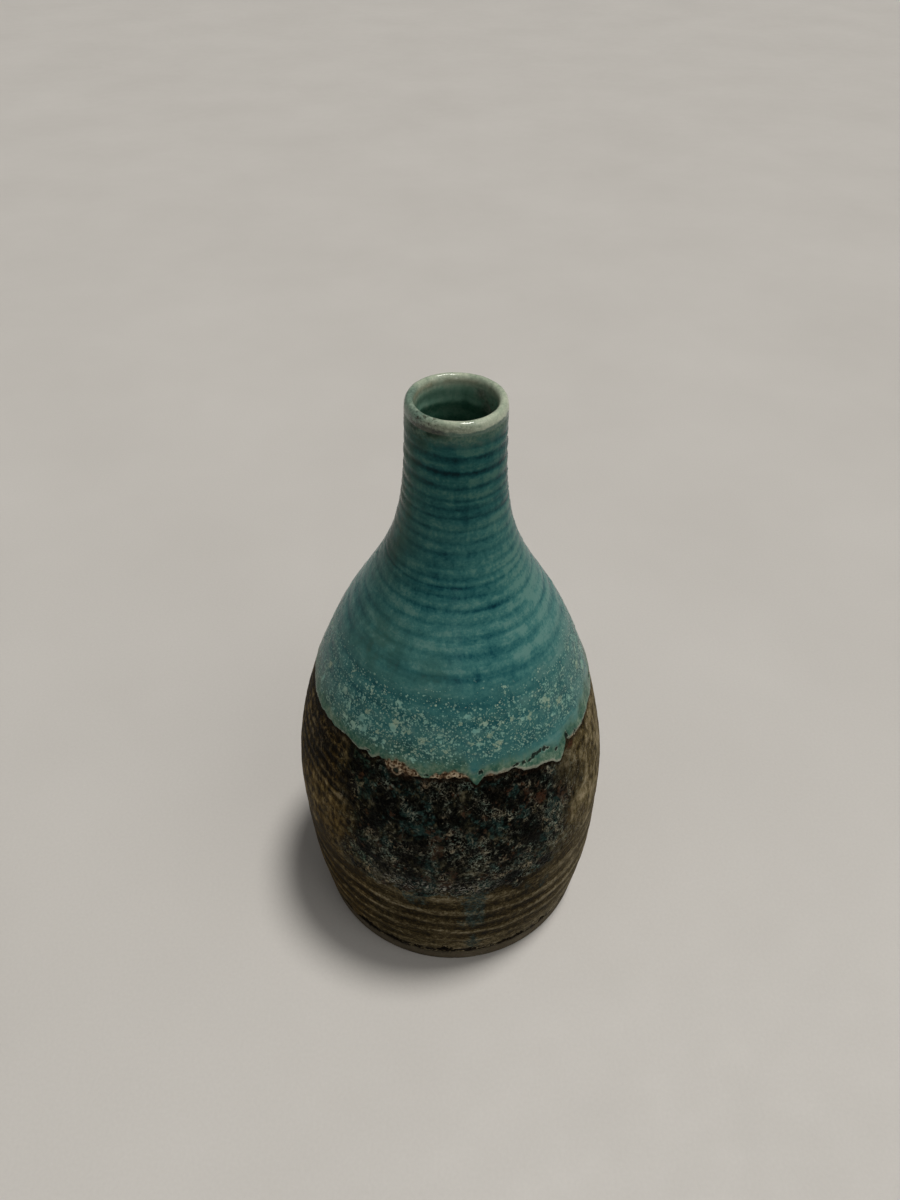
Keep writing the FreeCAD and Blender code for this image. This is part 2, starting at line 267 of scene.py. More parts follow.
# Pits and gaps in the upper glaze above its edge: angle, height, half width in degrees, half height in mm, rise in mm per degree, sag in mm, depth.
SLOTS = [(11.8, .5200, 1.0, .80, 0.05, 0, .85), (26.0, .5170, 1.5, .60, 0.15, 0, .9), (29.3, .5150, .8, .90, 0.3, 0, .8), (32.0, .5138, 1.1, .55, 0.2, 0, .8), (34.2, .5180, 1.2, 1.0, 0.35, 0, 1.0), (36.9, .5192, 1.5, .75, 0.3, 0, 1.0),
         (39.5, .5188, 1.0, .95, 0.1, 0, .9), (41.3, .5165, .9, .5, -0.2, 0, .7), (51.9, .5100, .9, 1.6, 0.0, 0, 1.0), (45.5, .5040, 1.1, .7, 0.1, 0, .6), (-33.5, .5240, 1.2, .6, 0.2, 0, .5), (-8.8, .5150, .9, .6, 0.2, 0, .6), (57.6, .5005, .9, .9, 0.1, 0, .7), (87.0, .511, 2.6, .7, -0.3, .4, .9),
         (128.0, .521, 2.2, .7, 0.3, 0, .9), (160, .5035, 1.3, 1.0, 0, 0, 1.0), (171.0, .522, 1.8, .7, 0.2, .3, .8), (226.0, .5285, 2.4, .6, -0.3, .5, .9), (266.0, .529, 1.6, .8, 0.3, 0, .8)]


def slots(phi, z):
    out = np.zeros(np.broadcast(phi, z).shape)
    for at, zz, half, tall, rise, sag, deep in SLOTS:
        a = turn(phi, at)
        near = np.abs(a) < half * 2.5
        rag = 1 + 0.22 * np.sin(a * 3.1 + at) + 0.15 * np.sin(a * 7.3)
        dz = (z - zz * H - rise * a + sag * ((a / half) ** 2 - 0.4)) / (tall * rag)
        out = np.maximum(out, np.where(near, deep * smooth(1.35, 0.65, (np.abs(a / half) ** 3 + np.abs(dz) ** 2.4) ** 0.4), 0))
    return out


def wobble(p):
    """Slow unevenness of a hand-thrown wall."""
    return 0.22 * noise3(p / np.array([48.0, 48.0, 40.0]), 11) + 0.06 * noise3(p / np.array([17.0, 17.0, 9.0]), 12)


def upper_wall(phi, z):
    """The turquoise coat: (height over the smooth wall, attributes)."""
    p = point(phi, z, outside(z))
    d = z - edge_height(phi)
    width = crust_width(phi)
    dg = d - width
    groove, strong = rings(phi, z, p)
    amp = 0.15 + 0.05 * bell(z, 168, 30) + 0.12 * smooth(196, 226, z)
    hide = 1 - 0.70 * smooth(14, 3, dg)
    relief = -amp * strong * (groove ** 1.3 - 0.42) * hide
    # the thick glaze: a rolled edge, a bead behind it and then the even coat
    bead = 0.80 + 0.22 * noise3(p / 6.0, 61)
    roll = np.clip(dg / 1.6, 0, 1)
    rise = np.sqrt(np.clip(1 - (1 - roll) ** 2, 0, 1))
    thick = np.where(dg < 1.6, bead * rise, 0.5 + (bead - 0.5) * np.exp(-(np.maximum(dg - 1.6, 0) / 3.4) ** 2))
    # the crust in front of it: thin, blistered, with open bubbles
    f1, f2, who = cells(phi, z, 176, 2.1, 64)
    bubble = np.where(who > 0.45, bell(f1, 0.34, 0.12) - 0.8 * smooth(0.26, 0.05, f1), 0)
    crust = 0.34 + 0.16 * noise3(p / 1.7, 62) + 0.10 * fbm(p / 3.4, 63, 2) + 0.22 * bubble
    crust = crust * np.sqrt(np.clip(1 - (1 - np.clip(d / 0.8, 0, 1)) ** 2, 0, 1)) * smooth(0.1, 0.6, width)
    # one large open bubble with a raised ring, in the widest part of the crust
    ringed = np.hypot(turn(phi, -20.6) * 1.02, (z - .5115 * H) * 1.15) * (1 + 0.22 * noise3(p / 1.9, 65))
    crust = crust + 0.26 * bell(ringed, 1.8, 0.5) - 0.15 * smooth(1.5, 0.6, ringed)
    gap = slots(phi, z)
    t = np.maximum(thick, np.where(d > 0, crust, 0)) * (1 - 0.88 * gap)
    skin = (0.036 * fbm(p / 2.6, 71, 3) + 0.060 * noise3(p / np.array([8.0, 8.0, 5.0]), 72)) * smooth(1.0, 3.0, dg)
    h = -0.45 + t + relief + skin + wobble(p)
    shown = smooth(0.9, -0.3, dg + 0.5 * noise3(p / 1.6, 73)) * smooth(0.15, 0.8, width)
    ring_mark = bell(ringed, 1.8, 0.42) - smooth(1.45, 0.8, ringed)
    return h, d, dg, groove, strong, gap, shown, bubble, ring_mark, p


def lava_share(phi, z, p):
    """1 where the crawled dark coat is heavy, 0 on the plain brown wall. The border is ragged."""
    a = turn(phi, 4)
    border = 0.262 * H + 9.0 * fbm(p / np.array([15.0, 15.0, 11.0]), 81, 3) + 5.0 * fbm(p / np.array([4.2, 4.2, 4.2]), 82, 3) - 2.5 * bell(a, 6, 9) + 3.0 * smooth(30, 70, np.abs(a))
    return smooth(-5.0, 5.0, z - border)


def front_share(phi, p):
    """1 at the front and in patches round the back, 0 where the coat is thin and brown, at the sides."""
    a = turn(phi, 4) + 11 * noise3(p / np.array([30.0, 30.0, 24.0]), 83)
    front = smooth(58, 36, np.abs(a))
    b = turn(phi, 182) + 14 * noise3(p / np.array([34.0, 34.0, 26.0]), 84)
    return np.maximum(front, 0.85 * smooth(62, 34, np.abs(b)))


def lower_wall(phi, z):
    """The dark coat and the brown wash under it share one surface."""
    p = point(phi, z, outside(z))
    d = z - edge_height(phi)
    groove, strong = rings(phi, z, p)
    lava, front = lava_share(phi, z, p), front_share(phi, p)
    heavy = lava * front
    a = turn(phi, 0)
    ringy = 0.26 + 0.78 * smooth(-30, -46, a) * smooth(-150, -110, a) * (0.22 + 0.78 * smooth(92, 108, z + 8 * noise3(p / 18.0, 105))) + 0.75 * smooth(80, 64, z) * smooth(16, 26, z)
    ringy = np.clip(ringy, 0, 1.1) * (0.90 + 0.65 * noise3(p / np.array([16.0, 16.0, 7.0]), 102))
    strong = strong * np.clip(ringy, 0.05, 1.3)
    amp = 0.34 + 0.05 * smooth(72, 52, z)
    crest = (1 - groove) ** 2.0
    relief = amp * strong * (crest - 0.36) * (1 - 0.55 * heavy)
    warp = p + np.stack([noise3(p / 4.0, 91), noise3(p / 4.0, 92), noise3(p / 4.0, 93)], -1) * 1.6
    ang = np.arctan2(warp[:, 0], -warp[:, 1])
    f1, f2, who = cells(ang, warp[:, 2], 104, 5.4, 95)
    crawl = smooth(0.02, 0.34, f2 - f1)
    worms = smooth(0.17, 0.04, np.abs(noise3(warp / np.array([4.4, 4.4, 6.6]), 97)))
    worms = np.maximum(worms, 0.75 * smooth(0.17, 0.05, np.abs(noise3(warp / np.array([2.9, 2.9, 4.6]), 98))))
    worms = worms * smooth(-0.35, 0.25, noise3(p / np.array([9.0, 9.0, 7.0]), 103) + 0.35 * noise3(p / 3.0, 104))
    rough = heavy + 0.22 * lava * (1 - front)
    relief = relief + rough * (0.16 * (crawl - 0.6) + 0.26 * (worms - 0.3) + 0.10 * fbm(p / 1.7, 99, 2) + 0.22 * fbm(p / 7.5, 100, 2))
    relief = relief + 0.06 * fbm(p / np.array([5.0, 5.0, 1.1]), 101, 3) * (1 - heavy)
    level = -0.10 - 0.30 * smooth(-3.0, 2.0, d)
    under = smooth(1.2, -0.4, d)
    return level + relief * (0.15 + 0.85 * under) + wobble(p), d, groove, strong, lava, front, crawl, worms, who, p


# ------------------------------------------------------------------ mesh building
def shell(name, rows, closed, node, material):
    """One closed surface of revolution. rows: dicts with phi (n,) and co (n, 3) in mm and attributes (n,). A row of one point is a pole.
    Neighbouring rows have the same number of points, or one has twice the other's."""
    names = sorted(set(k for r in rows for k in r if k not in ("phi", "co")))
    starts, verts, values, n = [], [], {k: [] for k in names}, 0
    for r in rows:
        starts.append(n)
        n += len(r["co"])
        verts.append(r["co"])
        for k in names:
            values[k].append(np.broadcast_to(np.asarray(r.get(k, 0.0), float), (len(r["co"]),)))
    verts = np.concatenate(verts)
    faces = []

    def strip(i, j):
        a, b, na, nb = starts[i], starts[j], len(rows[i]["co"]), len(rows[j]["co"])
        if na == nb:
            k = np.arange(na)
            m = (k + 1) % na
            faces.extend(np.stack([a + k, a + m, b + m, b + k], 1).tolist())
        elif nb == 1:
            k = np.arange(na)
            faces.extend(np.stack([a + k, a + (k + 1) % na, np.full(na, b)], 1).tolist())
        elif na == 1:
            k = np.arange(nb)
            faces.extend(np.stack([np.full(nb, a), b + (k + 1) % nb, b + k], 1).tolist())
        elif na == 2 * nb:
            k = np.arange(nb)
            f0, f1, f2 = a + 2 * k, a + 2 * k + 1, a + (2 * k + 2) % na
            c0, c1 = b + k, b + (k + 1) % nb
            faces.extend(np.stack([f0, f1, c0], 1).tolist())
            faces.extend(np.stack([f1, c1, c0], 1).tolist())
            faces.extend(np.stack([f1, f2, c1], 1).tolist())
        elif nb == 2 * na:
            k = np.arange(na)
            f0, f1, f2 = b + 2 * k, b + 2 * k + 1, b + (2 * k + 2) % nb
            c0, c1 = a + k, a + (k + 1) % na
            faces.extend(np.stack([c0, f1, f0], 1).tolist())
            faces.extend(np.stack([c0, c1, f1], 1).tolist())
            faces.extend(np.stack([c1, f2, f1], 1).tolist())
        else:
            raise ValueError("%s: rows of %d and %d points don't join" % (name, na, nb))

    for i in range(len(rows) - 1):
        strip(i, i + 1)
    if closed:
        strip(len(rows) - 1, 0)
    mesh = bpy.data.meshes.new(name)
    mesh.from_pydata((verts * 0.001).tolist(), [], faces)
    mesh.update()
    # outward normals: the signed volume is positive
    tri = np.array([[f[0], f[1], f[2]] for f in faces] + [[f[0], f[2], f[3]] for f in faces if len(f) == 4])
    q = verts[tri]
    volume = np.einsum("ij,ij->i", q[:, 0], np.cross(q[:, 1], q[:, 2])).sum() / 6
    if volume < 0:
        mesh.flip_normals()
    mesh.shade_smooth()
    for k in names:
        layer = mesh.attributes.new(k, "FLOAT", "POINT")
        layer.data.foreach_set("value", np.concatenate(values[k]).astype(np.float32))
    mesh.validate()
    mesh.set_sharp_from_angle(angle=62 * DEG)
    mesh.materials.append(material)
    obj = bpy.data.objects.new(name, mesh)
    bpy.context.scene.collection.objects.link(obj)
    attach(obj, "root")
    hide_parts(node)
    print("%s: %d vertices, %d triangles, %.1f cm3" % (name, len(verts), len(tri), abs(volume) / 1000))
    return obj


def spin(n):
    return np.arange(n) * TAU / n


# ------------------------------------------------------------------ node materials
class Mat:
    """A short way to write a node tree."""

    def __init__(self, name):
        self.mat = bpy.data.materials.new(name)
        self.mat.use_nodes = True
        self.t = self.mat.node_tree
        self.t.nodes.clear()
        self.out = self.t.nodes.new("ShaderNodeOutputMaterial")
        self.bsdf = self.t.nodes.new("ShaderNodeBsdfPrincipled")
        self.t.links.new(self.bsdf.outputs[0], self.out.inputs[0])
        self.co = self.t.nodes.new("ShaderNodeTexCoord").outputs["Object"]

    def put(self, socket, value):
        if isinstance(value, bpy.types.NodeSocket):
            self.t.links.new(value, socket)
        elif value is not None:
            if socket.type == "RGBA" and len(value) == 3:
                value = (*value, 1.0)
            socket.default_value = value

    def mm(self, sx=1.0, sy=1.0, sz=1.0, at=(0, 0, 0), vector=None):
        n = self.t.nodes.new("ShaderNodeMapping")
        n.inputs["Scale"].default_value = (1000 * sx, 1000 * sy, 1000 * sz)
        n.inputs["Location"].default_value = at
        self.put(n.inputs["Vector"], vector or self.co)
        return n.outputs[0]

    def noise(self, vector, scale, detail=3.0, rough=0.55, bend=0.0):
        n = self.t.nodes.new("ShaderNodeTexNoise")
        self.put(n.inputs["Vector"], vector)
        n.inputs["Scale"].default_value = scale
        n.inputs["Detail"].default_value = detail
        n.inputs["Roughness"].default_value = rough
        n.inputs["Distortion"].default_value = bend
        return n.outputs["Fac"]

    def noise_colour(self, vector, scale, detail=2.0):
        n = self.t.nodes.new("ShaderNodeTexNoise")
        self.put(n.inputs["Vector"], vector)
        n.inputs["Scale"].default_value = scale
        n.inputs["Detail"].default_value = detail
        return n.outputs["Color"]

    def voronoi(self, vector, scale, feature="F1", rand=1.0):
        n = self.t.nodes.new("ShaderNodeTexVoronoi")
        n.feature = feature
        self.put(n.inputs["Vector"], vector)
        n.inputs["Scale"].default_value = scale
        n.inputs["Randomness"].default_value = rand
        return n

    def parts(self, colour):
        n = self.t.nodes.new("ShaderNodeSeparateColor")
        self.put(n.inputs[0], colour)
        return n.outputs

    def attr(self, name):
        n = self.t.nodes.new("ShaderNodeAttribute")
        n.attribute_type = "GEOMETRY"
        n.attribute_name = name
        return n.outputs["Fac"]

    def math(self, op, a, b=None, c=None, clamp=False):
        n = self.t.nodes.new("ShaderNodeMath")
        n.operation = op
        n.use_clamp = clamp
        self.put(n.inputs[0], a)
        self.put(n.inputs[1], b)
        self.put(n.inputs[2], c)
        return n.outputs[0]

    def add(self, *v):
        s = v[0]
        for x in v[1:]:
            s = self.math("ADD", s, x)
        return s

    def mul(self, *v):
        s = v[0]
        for x in v[1:]:
            s = self.math("MULTIPLY", s, x)
        return s

    def clamp(self, v):
        return self.math("ADD", v, 0.0, clamp=True)

    def span(self, v, a, b, c=0.0, d=1.0, kind="SMOOTHSTEP"):
        n = self.t.nodes.new("ShaderNodeMapRange")
        n.interpolation_type = kind
        n.clamp = True
        self.put(n.inputs["Value"], v)
        for k, x in zip(("From Min", "From Max", "To Min", "To Max"), (a, b, c, d)):
            self.put(n.inputs[k], x)
        return n.outputs["Result"]

    def ramp(self, v, stops, kind="LINEAR"):
        n = self.t.nodes.new("ShaderNodeValToRGB")
        n.color_ramp.interpolation = kind
        e = n.color_ramp.elements
        while len(e) < len(stops):
            e.new(0.5)
        for i, (at, colour) in enumerate(stops):
            e[i].position = at
            e[i].color = (*colour, 1.0)
        self.put(n.inputs[0], v)
        return n.outputs["Color"]

    def mix(self, fac, a, b, blend="MIX"):
        n = self.t.nodes.new("ShaderNodeMix")
        n.data_type = "RGBA"
        n.blend_type = blend
        n.clamp_factor = True
        self.put(n.inputs["Factor"], fac)
        self.put(n.inputs["A"] if n.inputs["A"].type == "RGBA" else n.inputs[6], a)
        self.put(n.inputs["B"] if n.inputs["B"].type == "RGBA" else n.inputs[7], b)
        return n.outputs[2] if n.outputs[2].type == "RGBA" else n.outputs["Result"]

    def shift(self, vector, colour, amount):
        """vector moved by a noise colour, by up to amount / 2 each way."""
        a = self.t.nodes.new("ShaderNodeVectorMath")
        a.operation = "SUBTRACT"
        self.put(a.inputs[0], colour)
        a.inputs[1].default_value = (0.5, 0.5, 0.5)
        b = self.t.nodes.new("ShaderNodeVectorMath")
        b.operation = "SCALE"
        self.put(b.inputs[0], a.outputs[0])
        b.inputs["Scale"].default_value = amount
        c = self.t.nodes.new("ShaderNodeVectorMath")
        c.operation = "ADD"
        self.put(c.inputs[0], vector)
        self.put(c.inputs[1], b.outputs[0])
        return c.outputs[0]

    def bump(self, height, mm, strength=1.0, normal=None):
        n = self.t.nodes.new("ShaderNodeBump")
        n.inputs["Strength"].default_value = strength
        n.inputs["Distance"].default_value = mm * 0.001
        self.put(n.inputs["Height"], height)
        if normal is not None:
            self.put(n.inputs["Normal"], normal)
        return n.outputs[0]

    def blend(self, fac, a, b):
        n = self.t.nodes.new("ShaderNodeMix")
        n.data_type = "FLOAT"
        for k, v in zip((0, 2, 3), (fac, a, b)):
            self.put(n.inputs[k], v)
        return n.outputs[0]

    def finish(self, colour, rough, normal, ior=1.5, specular=0.5):
        self.put(self.bsdf.inputs["Base Color"], colour)
        self.put(self.bsdf.inputs["Roughness"], rough)
        self.put(self.bsdf.inputs["Normal"], normal)
        self.bsdf.inputs["IOR"].default_value = ior
        self.bsdf.inputs["Specular IOR Level"].default_value = specular
        return self.mat


def turquoise_material():
    m = Mat("turquoise_glaze")
    mm = m.mm()
    ring, strong, d, dg = m.attr("groove"), m.attr("strong"), m.attr("above"), m.attr("glaze")
    zone, blotch, gap, crust, bubble, tone, high = (m.attr(k) for k in ("zone", "blotch", "gap", "crust", "bubble", "tone", "high"))
    slow = m.noise(mm, 0.045, 3, 0.5)
    bands = m.noise(m.mm(0.030, 0.030, 0.36), 1.0, 4, 0.60)
    runs = m.noise(m.mm(0.42, 0.42, 0.09), 1.0, 3, 0.6)
    cloud = m.noise(mm, 0.17, 4, 0.62)
    grain = m.noise(mm, 0.9, 4, 0.68)
    pooled = m.mul(m.math("POWER", ring, 3.4), strong)
    thin = m.mul(m.math("POWER", m.math("SUBTRACT", 1.0, ring), 2.5), strong)
    # painted light: the tone value lowers the depth on the right side, so that side is painted lighter
    deep = m.add(0.37, m.mul(pooled, m.span(high, 0.0, 1.0, 0.36, 0.46, "LINEAR")), m.mul(thin, -0.12), m.mul(m.math("SUBTRACT", slow, 0.5), 0.7), m.mul(m.math("SUBTRACT", bands, 0.5), 0.95),
                 m.mul(m.math("SUBTRACT", cloud, 0.5), 0.95), m.mul(m.math("SUBTRACT", runs, 0.5), 0.55), m.mul(m.math("SUBTRACT", grain, 0.5), 0.95), m.mul(tone, 0.35))
    body = m.ramp(m.clamp(deep), [(0.0, (.120, .265, .240)), (0.25, (.062, .200, .190)), (0.55, (.027, .132, .138)), (0.8, (.010, .078, .096)), (1.0, (.004, .040, .056))])
    # the neck: darker, with olive where the coat is thin
    neck = m.ramp(m.clamp(deep), [(0.0, (.062, .165, .135)), (0.30, (.021, .106, .100)), (0.6, (.007, .062, .066)), (0.85, (.003, .032, .037)), (1.0, (.0015, .018, .022))])
    colour = m.mix(high, body, neck)
    olive = m.ramp(m.add(m.mul(grain, 0.5), m.mul(runs, 0.5)), [(0.34, (.020, .048, .032)), (0.52, (.050, .105, .070)), (0.66, (.105, .165, .110))])
    colour = m.mix(m.mul(m.attr("olive"), m.span(cloud, 0.34, 0.60, 0.25, 0.85)), colour, olive)
    # the thick, greener strip behind the edge
    strip = m.span(m.add(dg, m.mul(m.math("SUBTRACT", slow, 0.5), 16.0), m.mul(m.math("SUBTRACT", cloud, 0.5), 16.0)), 12.0, 3.0)
    green = m.ramp(m.add(m.mul(m.math("SUBTRACT", grain, 0.5), 0.8), m.mul(m.math("SUBTRACT", cloud, 0.5), 0.7), m.mul(m.math("SUBTRACT", runs, 0.5), 0.55), 0.49), [(0.32, (.018, .066, .042)), (0.44, (.052, .120, .074)), (0.54, (.104, .172, .108)), (0.64, (.165, .240, .160)), (0.74, (.24, .31, .21))])
    colour = m.mix(m.mul(strip, 0.85), colour, green)
    # the speckled zone: blue ground with pale flecks, ragged ones and round ones
    ground = m.ramp(m.add(m.mul(m.noise(mm, 0.33, 4, 0.6), 0.7), m.mul(cloud, 0.3)), [(0.36, (.007, .050, .062)), (0.5, (.023, .100, .102)), (0.64, (.062, .168, .142))])
    colour = m.mix(m.mul(zone, 0.74), colour, ground)
    wander = m.shift(mm, m.noise_colour(mm, 0.7, 2), 1.3)
    crowd = m.mul(m.math("SUBTRACT", m.noise(mm, 0.12, 3, 0.6), 0.5), 0.34)
    lean_in = m.add(m.mul(zone, 0.125), crowd)
    ragged = m.span(m.add(m.noise(wander, 0.34, 3, 0.50), lean_in), 0.715, 0.755)
    fine = m.span(m.add(m.noise(m.shift(m.mm(at=(3, 1, 7)), m.noise_colour(mm, 1.4, 2), 0.8), 0.95, 3, 0.60), lean_in), 0.690, 0.735)
    flecks = m.math("MAXIMUM", m.mul(ragged, 0.9), m.mul(fine, 0.8))
    here = m.span(zone, 0.04, 0.30)
    for scale, least, most, reach in ((0.42, 0.12, 0.31, 0.80), (0.62, 0.15, 0.36, 1.20), (0.95, 0.20, 0.40, 1.30)):
        v = m.voronoi(m.shift(mm, m.noise_colour(mm, 1.5, 2), 0.55), scale)
        r, g, b = m.parts(v.outputs["Color"])[0:3]
        spot = m.span(m.math("SUBTRACT", m.span(g, 0.0, 1.0, least, most, "LINEAR"), v.outputs["Distance"]), 0.0, 0.10)
        keep = m.span(m.math("SUBTRACT", m.mul(m.add(zone, 0.02), reach), r), 0.0, 0.02)
        flecks = m.math("MAXIMUM", flecks, m.mul(spot, keep, m.span(b, 0.0, 1.0, 0.55, 1.0, "LINEAR")))
    flecks = m.mul(flecks, here)
    pale = m.ramp(m.noise(mm, 0.22, 3), [(0.32, (.180, .390, .345)), (0.5, (.270, .465, .380)), (0.68, (.365, .480, .360))])
    colour = m.mix(m.mul(flecks, m.span(m.noise(mm, 0.5, 2), 0.35, 0.6, 0.68, 1.0)), colour, pale)
    curd = m.span(m.add(blotch, m.mul(m.math("SUBTRACT", m.noise(wander, 0.55, 3, 0.6), 0.5), 2.6)), 0.74, 0.88)
    colour = m.mix(m.mul(curd, m.span(m.noise(mm, 1.1, 3), 0.35, 0.6, 0.5, 0.85)), colour, m.ramp(m.noise(mm, 0.45, 3), [(0.35, (.22, .35, .27)), (0.65, (.35, .44, .31))]))
    # the edge: a pale line where the thick glaze rolls over, then the blistered crust
    line = m.mul(m.span(m.add(dg, m.mul(m.math("SUBTRACT", m.noise(mm, 0.8, 3), 0.5), 1.3)), 2.1, 0.9), m.math("MAXIMUM", m.span(m.noise(mm, 0.16, 3), 0.50, 0.66, 0.0, 0.6), m.attr("pale")), m.span(d, -0.1, 0.25))
    colour = m.mix(m.mul(line, 0.80), colour, m.ramp(grain, [(0.35, (.25, .27, .20)), (0.65, (.45, .46, .37))]))
    tan = m.ramp(m.add(m.mul(m.noise(mm, 0.85, 4, 0.7), 0.85), m.mul(bubble, 0.18), 0.05), [(0.35, (.012, .007, .004)), (0.45, (.085, .046, .022)), (0.54, (.25, .180, .110)), (0.68, (.48, .40, .28))])
    burnt = m.ramp(m.noise(mm, 0.95, 4, 0.7), [(0.40, (.0020, .0016, .0012)), (0.54, (.022, .012, .007)), (0.64, (.13, .082, .050)), (0.74, (.33, .26, .19))])
    tan = m.mix(m.mul(m.span(m.add(dg, m.mul(m.math("SUBTRACT", m.noise(mm, 0.45, 3), 0.5), 3.0)), -2.4, -4.4), m.span(m.attr("ringed"), 0.2, 0.6, 1.0, 0.0)), tan, burnt)
    tan = m.mix(m.span(m.attr("ringed"), 0.5, 0.9, 0.0, 0.55), tan, (.24, .21, .15))
    tan = m.mix(m.span(m.attr("ringed"), -0.2, -0.7, 0.0, 0.75), tan, (.022, .036, .026))
    colour = m.mix(crust, colour, tan)
    # painted shadow: a dark band at the very foot of the rolled edge
    shade = m.span(d, 0.55, 0.0)
    colour = m.mix(m.mul(shade, m.span(m.noise(mm, 0.35, 3), 0.35, 0.6), 0.8), colour, (.020, .014, .009))
    torn = m.add(gap, m.mul(m.math("SUBTRACT", m.noise(mm, 0.95, 3, 0.6), 0.5), 1.5))
    colour = m.mix(m.mul(m.span(gap, 0.02, 0.20), m.span(grain, 0.45, 0.60), 0.75), colour, (.30, .36, .29))
    # painted shadow: the inside of the pits is filled with near-black
    colour = m.mix(m.mul(m.span(torn, 0.35, 0.55), m.span(gap, 0.03, 0.25), 0.93), colour, (.006, .014, .011))
    # under the lip the coat thins to a grey green, and at the left it is dark olive
    colour = m.mix(m.mul(m.attr("veil"), m.span(grain, 0.35, 0.6, 0.45, 0.85)), colour, m.ramp(m.add(m.mul(grain, 0.6), m.mul(cloud, 0.4)), [(0.35, (.050, .120, .088)), (0.65, (.20, .28, .205))]))
    under = m.mul(m.attr("under_lip"), m.span(m.noise(m.mm(0.22, 0.22, 0.40), 1.0, 3), 0.34, 0.60, 0.25, 1.0))
    colour = m.mix(under, colour, m.ramp(m.noise(mm, 0.5, 3), [(0.3, (.008, .026, .016)), (0.7, (.034, .064, .042))]))
    rough = m.add(m.span(m.noise(mm, 0.16, 3), 0.3, 0.7, 0.13, 0.26, "LINEAR"), m.mul(flecks, 0.20), m.mul(crust, 0.35), m.mul(grain, 0.08), m.mul(gap, 0.3))
    height = m.add(m.mul(m.noise(mm, 0.62, 3, 0.55), 0.6), m.mul(m.noise(mm, 2.6, 2, 0.5), 0.10), m.mul(flecks, 0.45), m.mul(curd, 0.35), m.mul(cloud, 0.6), m.mul(crust, m.mul(grain, 1.6)))
    return m.finish(colour, rough, m.bump(height, 0.14), specular=0.05)


